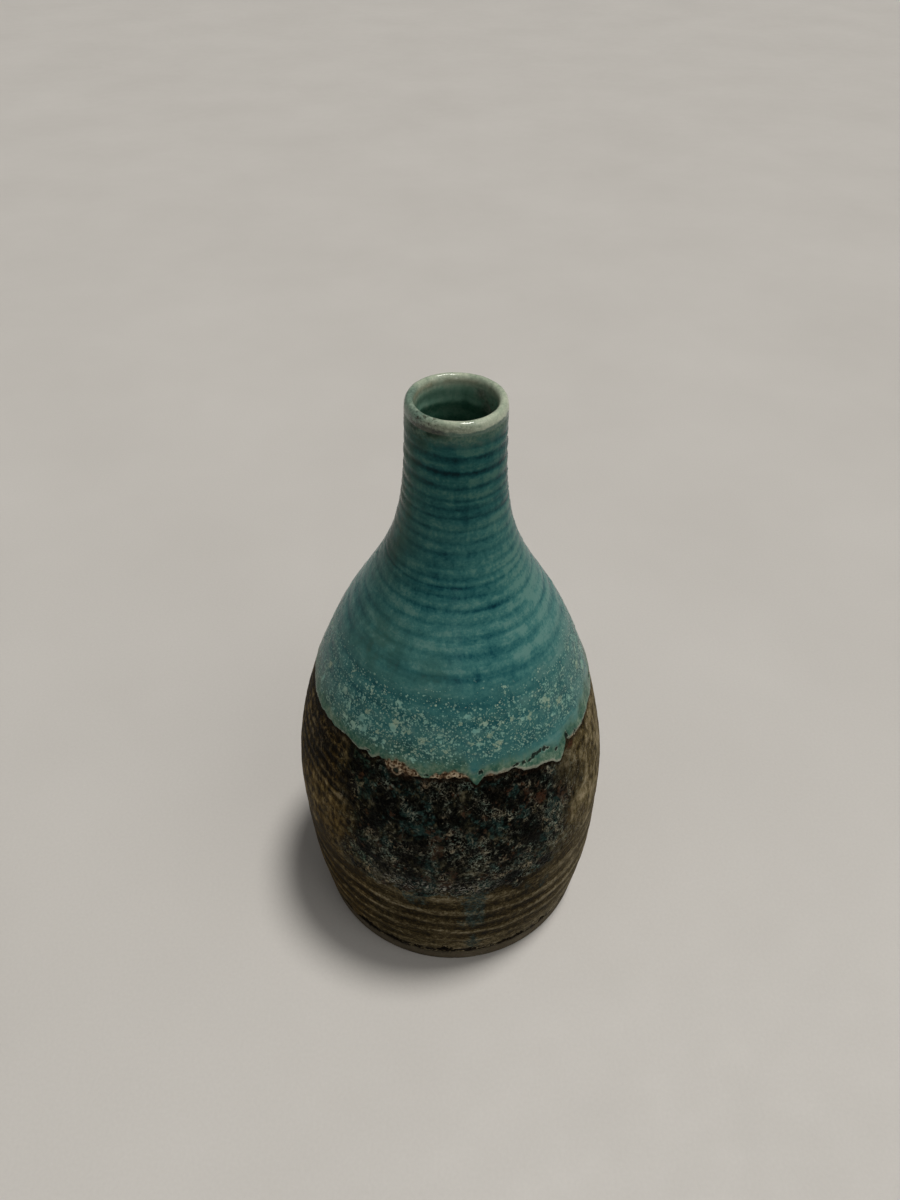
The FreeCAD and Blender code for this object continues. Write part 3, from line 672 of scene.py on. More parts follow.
def dark_material(name):
    """The crawled dark coat and the brown wash. They run into one another, so both pieces read the same masks."""
    m = Mat(name)
    mm = m.mm()
    ring, strong, lava, front, teal, rust, frost, worm, d, chip, light = (m.attr(k) for k in (
        "groove", "strong", "lava", "front", "teal", "rust", "frost", "worms", "above", "chip", "light"))
    crest = m.mul(m.math("POWER", m.math("SUBTRACT", 1.0, ring), 3.0), m.clamp(strong))
    hollow = m.mul(m.math("POWER", ring, 1.5), m.clamp(strong))
    slow = m.noise(mm, 0.055, 3, 0.5)
    patch = m.noise(m.mm(1, 1, 0.75, at=(2, 7, 1)), 0.10, 4, 0.62)
    mottle = m.noise(mm, 0.50, 4, 0.66)
    grit = m.noise(mm, 1.25, 4, 0.70)
    # the wash: turned lines, thin and lighter on the crests
    lines = m.noise(m.mm(0.09, 0.09, 1.05), 1.0, 4, 0.64)
    # painted light: the side light value makes the wash lighter on the right side and darker on the left
    wash_v = m.clamp(m.add(m.mul(m.math("SUBTRACT", lines, 0.5), 1.0), m.mul(m.math("SUBTRACT", mottle, 0.5), 1.6), m.mul(crest, 0.36), m.mul(hollow, -0.21),
                           m.mul(m.math("SUBTRACT", slow, 0.5), 0.6), m.mul(m.math("SUBTRACT", grit, 0.5), 1.0), m.mul(light, 0.30), m.mul(m.attr("heel"), 0.26), 0.445))
    wash = m.ramp(wash_v, [(0.05, (.0038, .0026, .0006)), (0.32, (.023, .0160, .0050)), (0.55, (.064, .048, .021)), (0.78, (.135, .110, .060)), (1.0, (.24, .202, .130))])
    teal_here = m.span(m.add(teal, m.mul(m.math("SUBTRACT", m.noise(mm, 0.33, 4, 0.62), 0.5), 1.8)), 0.42, 0.72)
    wash = m.mix(m.mul(teal_here, m.span(m.noise(mm, 0.75, 3), 0.40, 0.56, 0.25, 0.95)), wash, m.ramp(m.add(m.mul(mottle, 0.5), m.mul(grit, 0.5), m.mul(crest, 0.08)), [(0.38, (.002, .006, .006)), (0.48, (.016, .030, .027)), (0.58, (.060, .085, .072)), (0.68, (.13, .16, .135))]))
    # the dark coat: a near-black ground, crossed by light crawl lines and flecks; the pale lines and flecks also stand
    # for glints on the glossy ridges, as painted highlights
    wander = m.shift(mm, m.noise_colour(mm, 0.42, 3), 3.2)
    edge = m.voronoi(wander, 0.22, "DISTANCE_TO_EDGE").outputs["Distance"]
    bold = m.math("ABSOLUTE", m.math("SUBTRACT", m.noise(m.mm(0.27, 0.27, 0.17, at=(3, 8, 2)), 1.0, 1.5, 0.5, 1.0), 0.5))
    thread = m.math("ABSOLUTE", m.math("SUBTRACT", m.noise(m.mm(0.50, 0.50, 0.38, at=(7, 2, 5)), 1.0, 1.5, 0.5, 0.8), 0.5))
    fleck = m.span(m.noise(m.mm(1.05, 1.05, 0.85, at=(1, 6, 3)), 1.0, 2, 0.5, 0.5), 0.585, 0.640)
    lighten = m.attr("low")
    where = m.span(m.add(m.noise(m.mm(1, 1, 0.8, at=(6, 1, 8)), 0.115, 4, 0.62), m.mul(lighten, 0.085)), 0.515, 0.66)
    broken = m.span(m.noise(mm, 0.40, 2), 0.42, 0.56)
    net = m.math("MAXIMUM", m.mul(m.span(bold, 0.030, 0.010), broken), m.math("MAXIMUM", m.mul(m.span(thread, 0.028, 0.010), 0.80), m.mul(fleck, 0.50)))
    net = m.mul(net, m.span(where, 0.0, 1.0, 0.06, 1.0, "LINEAR"), m.span(mottle, 0.38, 0.53, 0.14, 1.0))
    net = m.math("MAXIMUM", net, m.mul(m.span(worm, 0.45, 0.95), broken, m.span(grit, 0.42, 0.56), 0.55))
    shade = m.add(0.335, m.mul(m.math("SUBTRACT", patch, 0.5), 1.9), m.mul(m.math("SUBTRACT", m.noise(m.mm(0.50, 0.50, 0.36, at=(2, 2, 6)), 1.0, 3, 0.55), 0.5), 1.5), m.mul(m.math("SUBTRACT", grit, 0.5), 0.35), m.mul(lighten, 0.17))
    dark = m.ramp(m.clamp(shade), [(0.20, (.0004, .0005, .0002)), (0.48, (.0012, .0013, .0007)), (0.61, (.0100, .0096, .0052)), (0.76, (.045, .041, .024)), (1.0, (.11, .100, .064))])
    blue = m.mul(m.span(m.add(m.noise(m.mm(1, 1, 0.8, at=(4, 4, 9)), 0.10, 4, 0.62), m.mul(m.math("SUBTRACT", mottle, 0.5), 0.30)), 0.530, 0.600), m.span(m.noise(mm, 0.42, 3), 0.40, 0.56, 0.10, 1.0))
    dark = m.mix(m.mul(blue, m.span(front, 0.70, 1.0, 0.0, 0.80)), dark, m.ramp(m.add(m.mul(grit, 0.4), m.mul(mottle, 0.6)), [(0.38, (.0012, .0075, .0070)), (0.52, (.012, .036, .032)), (0.66, (.055, .100, .088))]))
    red = m.span(m.add(m.noise(m.mm(1, 1, 0.8, at=(9, 2, 4)), 0.13, 4, 0.62), m.mul(m.math("SUBTRACT", mottle, 0.5), 0.45)), 0.590, 0.640)
    dark = m.mix(m.mul(red, 0.70), dark, m.ramp(mottle, [(0.36, (.006, .003, .0018)), (0.66, (.070, .036, .020))]))
    pale_net_and_glints = m.ramp(m.noise(mm, 0.20, 3), [(0.34, (.200, .315, .255)), (0.46, (.305, .345, .270)), (0.56, (.365, .360, .265)), (0.68, (.410, .330, .210))])
    dark = m.mix(m.mul(net, m.span(lighten, 0.0, 1.0, 0.80, 0.95, "LINEAR")), dark, pale_net_and_glints)
    # thin coat at the sides: brown, with a vertical mottle and the rings showing
    drag = m.noise(m.mm(0.36, 0.36, 0.12), 1.0, 4, 0.66)
    # painted light: the side light value makes the side coat lighter on the right and gives its rings more contrast
    # away from that side
    side_v = m.clamp(m.add(0.395, m.mul(m.math("SUBTRACT", drag, 0.5), 1.7), m.mul(m.math("POWER", m.math("SUBTRACT", 1.0, ring), 1.5), m.clamp(strong), m.span(slow, 0.40, 0.58, 0.35, 1.1), m.span(light, 0.12, -0.1, 0.20, 0.42)), m.mul(hollow, m.span(light, 0.12, -0.1, -0.22, -0.55)), m.mul(m.math("SUBTRACT", slow, 0.5), 0.8), m.mul(m.math("SUBTRACT", grit, 0.5), 0.7),
                           m.mul(m.math("SUBTRACT", patch, 0.5), 1.5), m.mul(m.math("SUBTRACT", mottle, 0.5), 1.1), m.mul(light, 0.42), m.mul(m.math("MINIMUM", light, 0.0), -0.62)))
    side = m.ramp(side_v, [(0.04, (.0040, .0030, .0007)), (0.30, (.030, .0208, .0056)), (0.55, (.098, .073, .029)), (0.80, (.215, .172, .088)), (1.0, (.33, .275, .170))])
    # the same pale lines on the side coat, partly painted highlights
    side = m.mix(m.mul(net, 0.75), side, (.23, .20, .14))
    # painted shade: near-black patches on the side coat below the edge, kept off the lit right side
    black = m.mul(m.span(m.add(d, m.mul(m.math("SUBTRACT", patch, 0.5), 95.0)), -36.0, -16.0), m.span(light, 0.10, -0.06))
    side = m.mix(m.mul(black, m.span(mottle, 0.40, 0.58, 1.0, 0.45)), side, (.0035, .0028, .0018))
    dark = m.mix(front, side, dark)
    lava = m.span(m.add(lava, m.mul(m.math("SUBTRACT", mottle, 0.5), 1.6), m.mul(m.math("SUBTRACT", patch, 0.5), 1.2)), 0.38, 0.62)
    colour = m.mix(lava, wash, dark)
    # painted shade: a warmer, browner tint on the left side
    colour = m.mix(m.mul(m.span(light, -0.02, -0.22), m.span(m.noise(mm, 0.08, 3), 0.36, 0.60, 0.35, 1.0)), colour, (1.10, 0.95, 0.68), "MULTIPLY")
    rust_here = m.span(m.add(rust, m.mul(m.math("SUBTRACT", mottle, 0.5), 1.2)), 0.40, 0.70)
    colour = m.mix(m.mul(rust_here, 0.85), colour, m.ramp(grit, [(0.32, (.012, .005, .0025)), (0.55, (.060, .026, .013)), (0.72, (.13, .065, .036))]))
    frosting = m.mul(frost, m.span(m.noise(wander, 0.9, 3, 0.6), 0.525, 0.60), m.span(m.noise(mm, 0.33, 2), 0.38, 0.54))
    colour = m.mix(m.mul(frosting, 0.9), colour, (.36, .35, .30))
    # the shadowed foot of the upper glaze, and the chipped arris
    near = m.mul(m.span(m.add(d, m.mul(m.math("SUBTRACT", mottle, 0.5), 3.0)), -2.6, -0.2), 0.80)
    colour = m.mix(near, colour, m.ramp(m.add(m.mul(grit, 0.7), m.mul(mottle, 0.3)), [(0.36, (.0010, .0008, .0006)), (0.54, (.012, .007, .0035)), (0.68, (.070, .040, .020)), (0.80, (.16, .12, .08))]))
    worn = m.mul(m.attr("arris"), m.span(m.noise(m.mm(0.22, 0.22, 0.40), 1.0, 4, 0.68), 0.470, 0.515))
    torn = m.span(m.add(chip, m.mul(m.math("SUBTRACT", m.noise(mm, 0.55, 4, 0.68), 0.5), 4.6)), 0.52, 0.80)
    colour = m.mix(m.math("MAXIMUM", m.mul(torn, m.span(chip, 0.02, 0.25)), worn), colour, m.ramp(grit, [(0.40, (.0006, .0005, .0003)), (0.62, (.012, .009, .006)), (0.72, (.08, .07, .05))]))
    matt = m.span(m.add(m.mul(mottle, 0.6), m.mul(grit, 0.4)), 0.38, 0.62, 0.0, 1.0)
    glossy = m.span(matt, 0.0, 1.0, 0.24, 0.50, "LINEAR")
    satin = m.span(matt, 0.0, 1.0, 0.42, 0.62, "LINEAR")
    heavy = m.mul(lava, front)
    rough = m.add(m.blend(heavy, satin, glossy), m.mul(chip, 0.35), m.mul(frosting, 0.2))
    flat_h = m.add(m.mul(lines, 0.75), m.mul(mottle, 0.55), m.mul(m.noise(mm, 2.4, 3, 0.6), 0.25))
    flat_h = m.add(flat_h, m.mul(grit, 0.35))
    lava_h = m.add(m.mul(net, 0.90), m.mul(grit, 0.70), m.mul(mottle, 1.1), m.mul(m.span(edge, 0.0, 0.3), 0.6))
    h = m.blend(m.mul(lava, m.span(front, 0.0, 1.0, 0.45, 1.0, "LINEAR")), flat_h, lava_h)
    return m.finish(colour, rough, m.bump(h, 0.40), specular=0.012)


def clay_material():
    m = Mat("stoneware")
    mm = m.mm()
    grit = m.noise(mm, 1.4, 4, 0.7)
    turned = m.noise(m.mm(0.12, 0.12, 1.6), 1.0, 4, 0.6)
    slow = m.noise(mm, 0.07, 3)
    v = m.clamp(m.add(m.mul(grit, 0.45), m.mul(turned, 0.35), m.mul(slow, 0.35), -0.08))
    colour = m.ramp(v, [(0.2, (.030, .024, .015)), (0.5, (.110, .092, .062)), (0.8, (.230, .200, .150))])
    colour = m.mix(m.span(m.noise(mm, 0.10, 3), 0.45, 0.7, 0.0, 0.45), colour, (.062, .048, .028))
    grog = m.voronoi(mm, 0.75)
    r, g, b = m.parts(grog.outputs["Color"])[0:3]
    dots = m.mul(m.span(grog.outputs["Distance"], 0.26, 0.14), m.span(r, 0.72, 0.76))
    colour = m.mix(m.mul(dots, 0.8), colour, m.ramp(g, [(0.4, (.012, .009, .007)), (0.6, (.26, .22, .17))], "CONSTANT"))
    worn = m.mul(m.attr("arris"), m.span(m.noise(m.mm(0.22, 0.22, 0.40), 1.0, 4, 0.68), 0.470, 0.515))
    colour = m.mix(m.math("MAXIMUM", m.attr("chip"), worn), colour, m.ramp(grit, [(0.3, (.0012, .0010, .0008)), (0.7, (.012, .009, .006))]))
    height = m.add(m.mul(grit, 0.8), m.mul(turned, 0.5), m.mul(dots, 0.5), m.mul(m.noise(mm, 4.0, 2), 0.2))
    return m.finish(colour, m.span(grit, 0.3, 0.7, 0.72, 0.92, "LINEAR"), m.bump(height, 0.16), ior=1.45, specular=0.06)


def liner_material():
    m = Mat("liner_glaze")
    mm = m.mm()
    rim, inner, deep, out, bare, skirt, pits, olive = (m.attr(k) for k in ("rim", "inner", "deep", "outer", "bare", "skirt", "pits", "olive"))
    cloud = m.noise(mm, 0.16, 3, 0.55)
    grain = m.noise(mm, 0.80, 4, 0.66)
    fine = m.noise(mm, 2.2, 3, 0.6)
    runs = m.noise(m.mm(0.5, 0.5, 0.09), 1.0, 3, 0.6)
    v = m.clamp(m.add(m.mul(cloud, 0.55), m.mul(grain, 0.45)))
    throat = m.ramp(m.clamp(m.add(m.mul(cloud, 0.45), m.mul(runs, 0.40), m.mul(grain, 0.25))), [(0.30, (.088, .215, .152)), (0.52, (.190, .360, .270)), (0.72, (.34, .49, .37))])
    below = m.ramp(v, [(0.3, (.020, .080, .050)), (0.5, (.050, .150, .100)), (0.7, (.13, .24, .17))])
    crown = m.ramp(m.add(m.mul(v, 0.75), m.mul(fine, 0.25)), [(0.32, (.21, .285, .205)), (0.46, (.39, .46, .345)), (0.56, (.53, .59, .45)), (0.70, (.68, .72, .57))])
    colour = m.mix(deep, throat, below)
    colour = m.mix(rim, colour, crown)
    # the left part of the rim is darker and greener: partly the glaze's own colour, partly painted shade on the side
    # away from the light
    colour = m.mix(m.mul(m.attr("left"), rim, m.span(cloud, 0.3, 0.6, 0.35, 0.85)), colour, m.ramp(grain, [(0.35, (.035, .095, .072)), (0.65, (.13, .23, .18))]))
    # breaking lines: cream at the inner corner, brown and beige at the outer one
    colour = m.mix(m.mul(inner, m.span(m.noise(mm, 0.13, 3), 0.36, 0.58)), colour, m.ramp(grain, [(0.35, (.30, .31, .21)), (0.65, (.46, .46, .33))]))
    smear = m.noise(m.mm(0.16, 0.16, 1.3), 1.0, 4, 0.65)
    beige = m.ramp(m.add(m.mul(smear, 0.6), m.mul(grain, 0.4)), [(0.34, (.050, .060, .036)), (0.46, (.145, .168, .113)), (0.56, (.265, .305, .220)), (0.68, (.385, .440, .330))])
    colour = m.mix(m.mul(out, m.span(m.noise(mm, 0.12, 3), 0.30, 0.5, 0.35, 0.75)), colour, beige)
    colour = m.mix(m.mul(bare, m.span(m.noise(mm, 0.30, 3, 0.6), 0.38, 0.55)), colour, m.ramp(grain, [(0.35, (.10, .10, .075)), (0.65, (.30, .28, .235))]))
    spots = m.mul(pits, m.span(m.noise(mm, 0.62, 4, 0.66), 0.52, 0.60))
    colour = m.mix(m.mul(spots, 0.85), colour, m.ramp(fine, [(0.35, (.010, .014, .008)), (0.65, (.070, .072, .044))]))
    # the olive and teal coat under the lip is the same as on the neck
    edge = m.span(m.add(skirt, m.mul(m.math("SUBTRACT", m.noise(mm, 0.42, 3), 0.5), 1.1)), 0.25, 0.80)
    teal = m.ramp(m.add(m.mul(cloud, 0.4), m.mul(grain, 0.6)), [(0.34, (.040, .105, .080)), (0.5, (.085, .165, .125)), (0.66, (.16, .24, .18))])
    colour = m.mix(edge, colour, m.mix(olive, teal, m.ramp(grain, [(0.35, (.010, .020, .012)), (0.65, (.060, .075, .045))])))
    height = m.add(m.mul(m.noise(mm, 0.55, 3, 0.5), 0.8), m.mul(grain, 0.25), m.mul(fine, 0.10), m.mul(spots, -0.5))
    return m.finish(colour, m.add(m.span(cloud, 0.3, 0.7, 0.05, 0.13, "LINEAR"), m.mul(grain, 0.07)), m.bump(height, 0.06), specular=0.5)


MATERIALS = {"turquoise": turquoise_material(), "lava": dark_material("lava_glaze"), "wash": dark_material("brown_wash"),
             "clay": clay_material(), "liner": liner_material()}


# ------------------------------------------------------------------ the five pieces
LIP_LINE, WASH_LINE, FOOT_LINE = 255.6, 67.6, 8.6


def turquoise_piece():
    rows = []
    n_edge, n_mid, n_top = 800, 400, 200
    length = LIP_LINE - 133.0
    ds = [0.0, .02, .08, .18, .32, .50, .74, 1.02, 1.34, 1.70] + list(np.arange(2.1, 9.4, 0.42))
    plan = [(x / length, n_edge) for x in ds]
    plan += [(x / length, n_mid) for x in np.arange(9.85, 62.0, 0.58)]
    plan += [(x / length, n_top) for x in np.append(np.arange(62.55, length - 0.3, 0.55), length)]
    for s, n in plan:
        phi = spin(n)
        low = edge_height(phi)
        z = low + s * (LIP_LINE - low)
        h, d, dg, groove, strong, gap, crust, bubble, ringed, p = upper_wall(phi, z)
        a = turn(phi, 0)
        join = smooth(250.0, LIP_LINE, z)
        h = h * (1 - join) + (lip_blend(phi)) * join
        share = z / H
        zone = smooth(.528, .546, share + .008 * fbm(p / 7.0, 201, 3)) * smooth(.662, .585, share + .022 * fbm(p / 9.0, 202, 3))
        zone = zone * (0.62 + 0.38 * smooth(-0.25, 0.25, fbm(p / 8.0, 203, 3)))
        blotch = np.zeros(n)
        for at, zz, wa, wz in ((-37, .580, 3.2, 2.2), (-24, .583, 2.8, 3.0), (-17.5, .574, 2.6, 2.0), (-11, .568, 3.0, 2.4), (-7.5, .560, 2.4, 2.6), (-1, .556, 3.2, 1.6),
                               (8, .566, 2.0, 1.4), (16, .575, 2.6, 2.4), (20, .560, 3.4, 1.5), (36, .578, 2.6, 3.4), (46, .583, 3.6, 3.6), (53, .570, 3.0, 2.4),
                               (4, .596, 1.5, 1.2), (27, .588, 2.2, 1.2), (-31, .560, 2.6, 1.6), (75, .575, 3.4, 2.6), (98, .570, 3.0, 2.2), (121, .583, 3.6, 2.6), (150, .572, 3.0, 2.0),
                               (177, .580, 3.4, 2.6), (205, .566, 3.0, 2.0), (232, .578, 3.2, 2.6), (262, .568, 3.2, 2.2), (290, .582, 2.8, 2.6)):
            blotch = np.maximum(blotch, np.exp(-(turn(phi, at) / wa) ** 2 - ((z - zz * H) / wz) ** 2))
        pale = np.zeros(n)
        for lo, hi, k in ((-33, -29, .6), (13.5, 47, 1.0), (51.5, 68, .6), (90, 112, .8), (125, 150, .7), (165, 185, .9), (220, 250, .8), (262, 285, .8)):
            b = turn(phi, (lo + hi) / 2)
            pale = np.maximum(pale, k * smooth((hi - lo) / 2 + 1.5, (hi - lo) / 2 - 1.5, np.abs(b)))
        # painted light: the coat below the neck is made lighter on the right side; it is also a little lighter on the
        # left, lighter below 0.60 of the height and darker in a band at 0.607
        tone = (-0.55 * smooth(10, 65, a) * smooth(140, 90, a) - 0.10 * smooth(-10, -60, a)) * smooth(225, 195, z) - 0.25 * smooth(.66, .60, share)
        tone = tone + 0.5 * bell(share, .607, .020) * (0.5 + fbm(p / 14.0, 205, 2))
        high = smooth(.665, .80, share) * 0.55 + smooth(.80, .93, share) * 0.45
        under_lip = smooth(252.5, 255.0, z + 1.2 * fbm(p / 5.0, 206, 2)) * (0.25 + 0.75 * smooth(5, -25, a) * smooth(-110, -80, a))
        under_lip = np.maximum(under_lip, 0.85 * bell(a, -44, 20) * smooth(243.0, 252.5, z + 1.5 * fbm(p / 6.0, 208, 2)))
        rows.append({"phi": phi, "co": on_wall(phi, z, h), "groove": groove, "strong": strong, "above": d, "glaze": dg, "gap": gap, "zone": zone,
                     "blotch": blotch, "crust": crust, "bubble": bubble, "ringed": ringed, "pale": pale, "tone": tone, "high": high, "olive": np.clip(1.0 * bell(a, -72, 26) * smooth(.70, .84, share) + 0.55 * bell(a, -45, 26) * smooth(.60, .66, share) * smooth(.74, .68, share) + 0.35 * bell(a, -8, 9) * bell(share, .655, .03) + 0.6 * bell(turn(phi, 170), 0, 22) * smooth(.66, .8, share), 0, 1),
                     "veil": smooth(250.0, 255.0, z + 1.8 * fbm(p / 4.0, 207, 2)), "under_lip": np.clip(under_lip, 0, 1)})
    # the face against the clay
    phi = spin(n_top)
    for z in (LIP_LINE, 250.0, 240.0, 230.0, 221.0, 213.0, 206.0, 199.0, 192.0, 184.0, 175.0, 165.0, 155.0):
        rows.append({"phi": phi, "co": on_wall(phi, np.full(n_top, z), np.full(n_top, -0.85))})
    phi = spin(n_mid)
    rows.append({"phi": phi, "co": on_wall(phi, np.full(n_mid, 146.0), np.full(n_mid, -0.85))})
    phi = spin(n_edge)
    rows.append({"phi": phi, "co": on_wall(phi, edge_height(phi) + 4.0, np.full(n_edge, -0.80))})
    rows.append({"phi": phi, "co": on_wall(phi, edge_height(phi) + 0.5, np.full(n_edge, -0.72))})
    return shell("vase_turquoise", rows, True, "turquoise_glaze", MATERIALS["turquoise"])


def lip_blend(phi):
    """Height of the lip coat over the smooth wall at the lip line, shared by both coats."""
    ring = np.stack([17 * np.sin(phi), -17 * np.cos(phi), np.zeros_like(phi)], -1)
    return 0.02 + 0.16 * noise3(ring / 9.0, 211)


CHIPS = [(-36, 9.9, 3.4, 1.3, .55), (-39.5, 9.2, 1.6, .8, .5), (-33, 9.4, 1.5, .8, .45), (-24, 9.6, 2.8, 1.0, .55), (-27.5, 9.1, 1.1, .7, .4), (-13.5, 9.3, .9, .9, .4), (-2, 10.2, 1.3, 1.5, .45),
         (-4.5, 9.4, .9, .8, .35), (.5, 9.8, .8, 1.1, .4), (2.5, 9.2, .8, .6, .35), (8, 10.6, .6, .5, .3), (10, 9.4, .9, .8, .35), (23, 9.4, 2.4, .7, .4), (29, 9.6, 1.7, .8, .45),
         (41, 9.8, 1.2, 1.0, .5), (-48, 9.5, 2.0, .8, .4), (54, 9.4, 1.6, .8, .4), (66, 9.6, 2.2, .9, .45), (83, 9.3, 1.0, .7, .4), (101, 9.6, 2.6, 1.1, .5), (118, 9.2, 1.0, .7, .4), (137, 9.7, 1.8, 1.0, .45),
         (154, 9.3, 1.4, .8, .4), (176, 9.5, 2.4, .9, .45), (197, 9.2, 1.0, .7, .35), (214, 9.8, 2.0, 1.1, .5), (239, 9.3, 1.2, .7, .4), (258, 9.6, 2.2, .9, .45), (283, 9.4, 1.6, .9, .4), (301, 9.2, 1.0, .6, .35)]


def chips(phi, z):
    out = np.zeros(np.broadcast(phi, z).shape)
    for at, zz, wa, wz, deep in CHIPS:
        a = turn(phi, at)
        rag = 1 + 0.22 * np.sin(a * 2.7 + at) + 0.16 * np.sin(a * 6.1 + 2 * at)
        out = np.maximum(out, deep * smooth(1.3, 0.6, np.sqrt((a / (1.45 * wa)) ** 2 + ((z - zz - 1.1) / (3.3 * wz * rag)) ** 2)))
    ring = point(phi, z, 65.0)
    pits = smooth(0.25, 0.50, noise3(ring / np.array([2.2, 2.2, 1.3]), 221)) * bell(z, 9.6, 1.5) * 0.42
    return np.maximum(out, pits)


def foot_edge(phi):
    ring = np.stack([65 * np.sin(phi), -65 * np.cos(phi), np.zeros_like(phi)], -1)
    return FOOT_LINE + 0.30 * noise3(ring / 9.0, 223) + 0.18 * noise3(ring / 2.4, 224)


def dark_row(phi, z):
    h, d, groove, strong, lava, front, crawl, worms, who, p = lower_wall(phi, z)
    a = turn(phi, 0)
    chip = chips(phi, z)
    h = h - chip * 0.9
    teal = (bell(a, 9, 5.5) * smooth(30, 45, z) + 0.8 * bell(a, 9, 4.0) * smooth(36, 20, z) * smooth(8, 16, z) + 0.7 * bell(a, 37, 4) * bell(z, 55, 7) + 0.5 * bell(a, 29, 3) * bell(z, 60, 6)
            + 0.8 * bell(a, -13, 6) * bell(z, 62, 9) + 0.6 * bell(turn(phi, 178), 0, 12) * bell(z, 52, 14) + 0.6 * bell(turn(phi, 140), 0, 5) * bell(z, 50, 12))
    rust = (1.0 * bell(a, 53.5, 2.6) * bell(z, .4885 * H, 2.0) + 0.8 * bell(a, 35, 4) * bell(z, .438 * H, 4.5) + 0.55 * bell(a, -25, 5) * bell(z, .36 * H, 5.0)
            + 0.55 * bell(a, 22, 3.5) * bell(z, .475 * H, 3.0) + 0.5 * bell(a, 47, 4) * bell(z, .365 * H, 4.0) + 0.5 * bell(a, -9, 4) * bell(z, .30 * H, 3.0)
            + 0.8 * bell(turn(phi, 118), 0, 4) * bell(z, 124, 3) + 0.8 * bell(turn(phi, 206), 0, 5) * bell(z, 121, 4))
    frost = bell(z, .277 * H, 3.6) * smooth(-32, -20, a) * smooth(24, 6, a) + 0.6 * bell(z, .28 * H, 3.5) * smooth(40, 25, np.abs(turn(phi, 185)))
    # the coat thins and pales downwards, and towards the right of the front; the side light value paints the right side
    # lighter and the left darker, as painted light and shade
    low = np.clip(smooth(118, 80, z) + 0.35 * smooth(20, 44, a) * smooth(80, 56, a), 0, 1)
    light = 0.55 * smooth(24, 60, a) * smooth(120, 90, a) - 0.30 * smooth(-20, -45, a) * smooth(-100, -70, a)
    return {"phi": phi, "co": on_wall(phi, z, h), "groove": groove, "strong": strong, "above": d, "lava": lava, "front": front, "worms": worms, "light": light, "low": low,
            "teal": np.clip(teal, 0, 1), "rust": np.clip(rust, 0, 1), "frost": frost, "chip": np.clip(chip * 3.0, 0, 1), "arris": np.clip(1.35 * bell(z, 10.6, 2.9) * (1 + 0.6 * bell(a, -32, 15)), 0, 1), "heel": smooth(26, 12, z)}


def lava_piece():
    rows = []
    n = 720
    phi = spin(n)
    top = edge_height(phi) + 5.0
    plan = np.append(np.arange(0.0, 1.0, 0.6 / 67.0), 1.0)
    for s in plan:
        rows.append(dark_row(phi, WASH_LINE + s * (top - WASH_LINE)))
    rows.append({"phi": phi, "co": on_wall(phi, top, np.full(n, -0.80))})
    m = 360
    for z in (125.0, 115.0, 105.0, 95.0, 85.0, 76.0):
        rows.append({"phi": spin(m), "co": on_wall(spin(m), np.full(m, z), np.full(m, -0.85))})
    rows.append({"phi": phi, "co": on_wall(phi, np.full(n, WASH_LINE), np.full(n, -0.85))})
    return shell("vase_lava", rows, True, "lava_glaze", MATERIALS["lava"])


def wash_piece():
    rows = []
    n = 720
    phi = spin(n)
    low = foot_edge(phi)
    plan = [0.0, .004, .009] + list(np.arange(0.016, 0.999, 0.62 / 59.0)) + [1.0]
    for s in plan:
        row = dark_row(phi, low + s * (WASH_LINE - low))
        if s < 0.0155:
            # the lower edge of the wash is rounded off on to the bare clay
            row["co"] = on_wall(phi, low + s * (WASH_LINE - low), -0.42 + (0.30 * math.sqrt(max(0, 1 - (1 - s / .016) ** 2))) + wobble(row["co"]) - chips(phi, low) * 0.7)
        rows.append(row)
    m = 360
    rows.append({"phi": phi, "co": on_wall(phi, np.full(n, WASH_LINE), np.full(n, -0.85))})
    for z in (60.0, 52.0, 44.0, 36.0, 28.0, 20.0):
        rows.append({"phi": spin(m), "co": on_wall(spin(m), np.full(m, z), np.full(m, -0.85))})
    rows.append({"phi": phi, "co": on_wall(phi, low + 1.0, np.full(n, -0.9))})
    return shell("vase_wash", rows, True, "brown_wash", MATERIALS["wash"])


# the inside of the vase
INNER = [(27.0, 60.4), (33.5, 61.49), (46.6, 62.5), (66.3, 62.65), (86.0, 62.22), (105.4, 58.75), (124.5, 53.72), (143.1, 47.16),
         (161.0, 39.07), (178.4, 29.63), (194.9, 18.98), (207.4, 14.18), (214.0, 14.0)]
HEEL = [(10.0, 44.0), (10.0, 50.5), (12.6, 56.0), (20.5, 59.2), (27.0, 60.4)]
_in = np.concatenate([bspline(HEEL, 24)[:-1], bspline(INNER, 150)])


def inside(offset, thin=1):
    """Points (z, r) of the inner wall from the floor's rim up to the straight throat, moved by offset mm into the hollow."""
    t = np.gradient(_in, axis=0)
    t = t / np.linalg.norm(t, axis=1)[:, None]
    q = _in + offset * np.stack([t[:, 1] * 1.0, -t[:, 0]], 1)
    # the normal into the hollow: at the floor it points up, on the wall inwards
    return q[::thin]


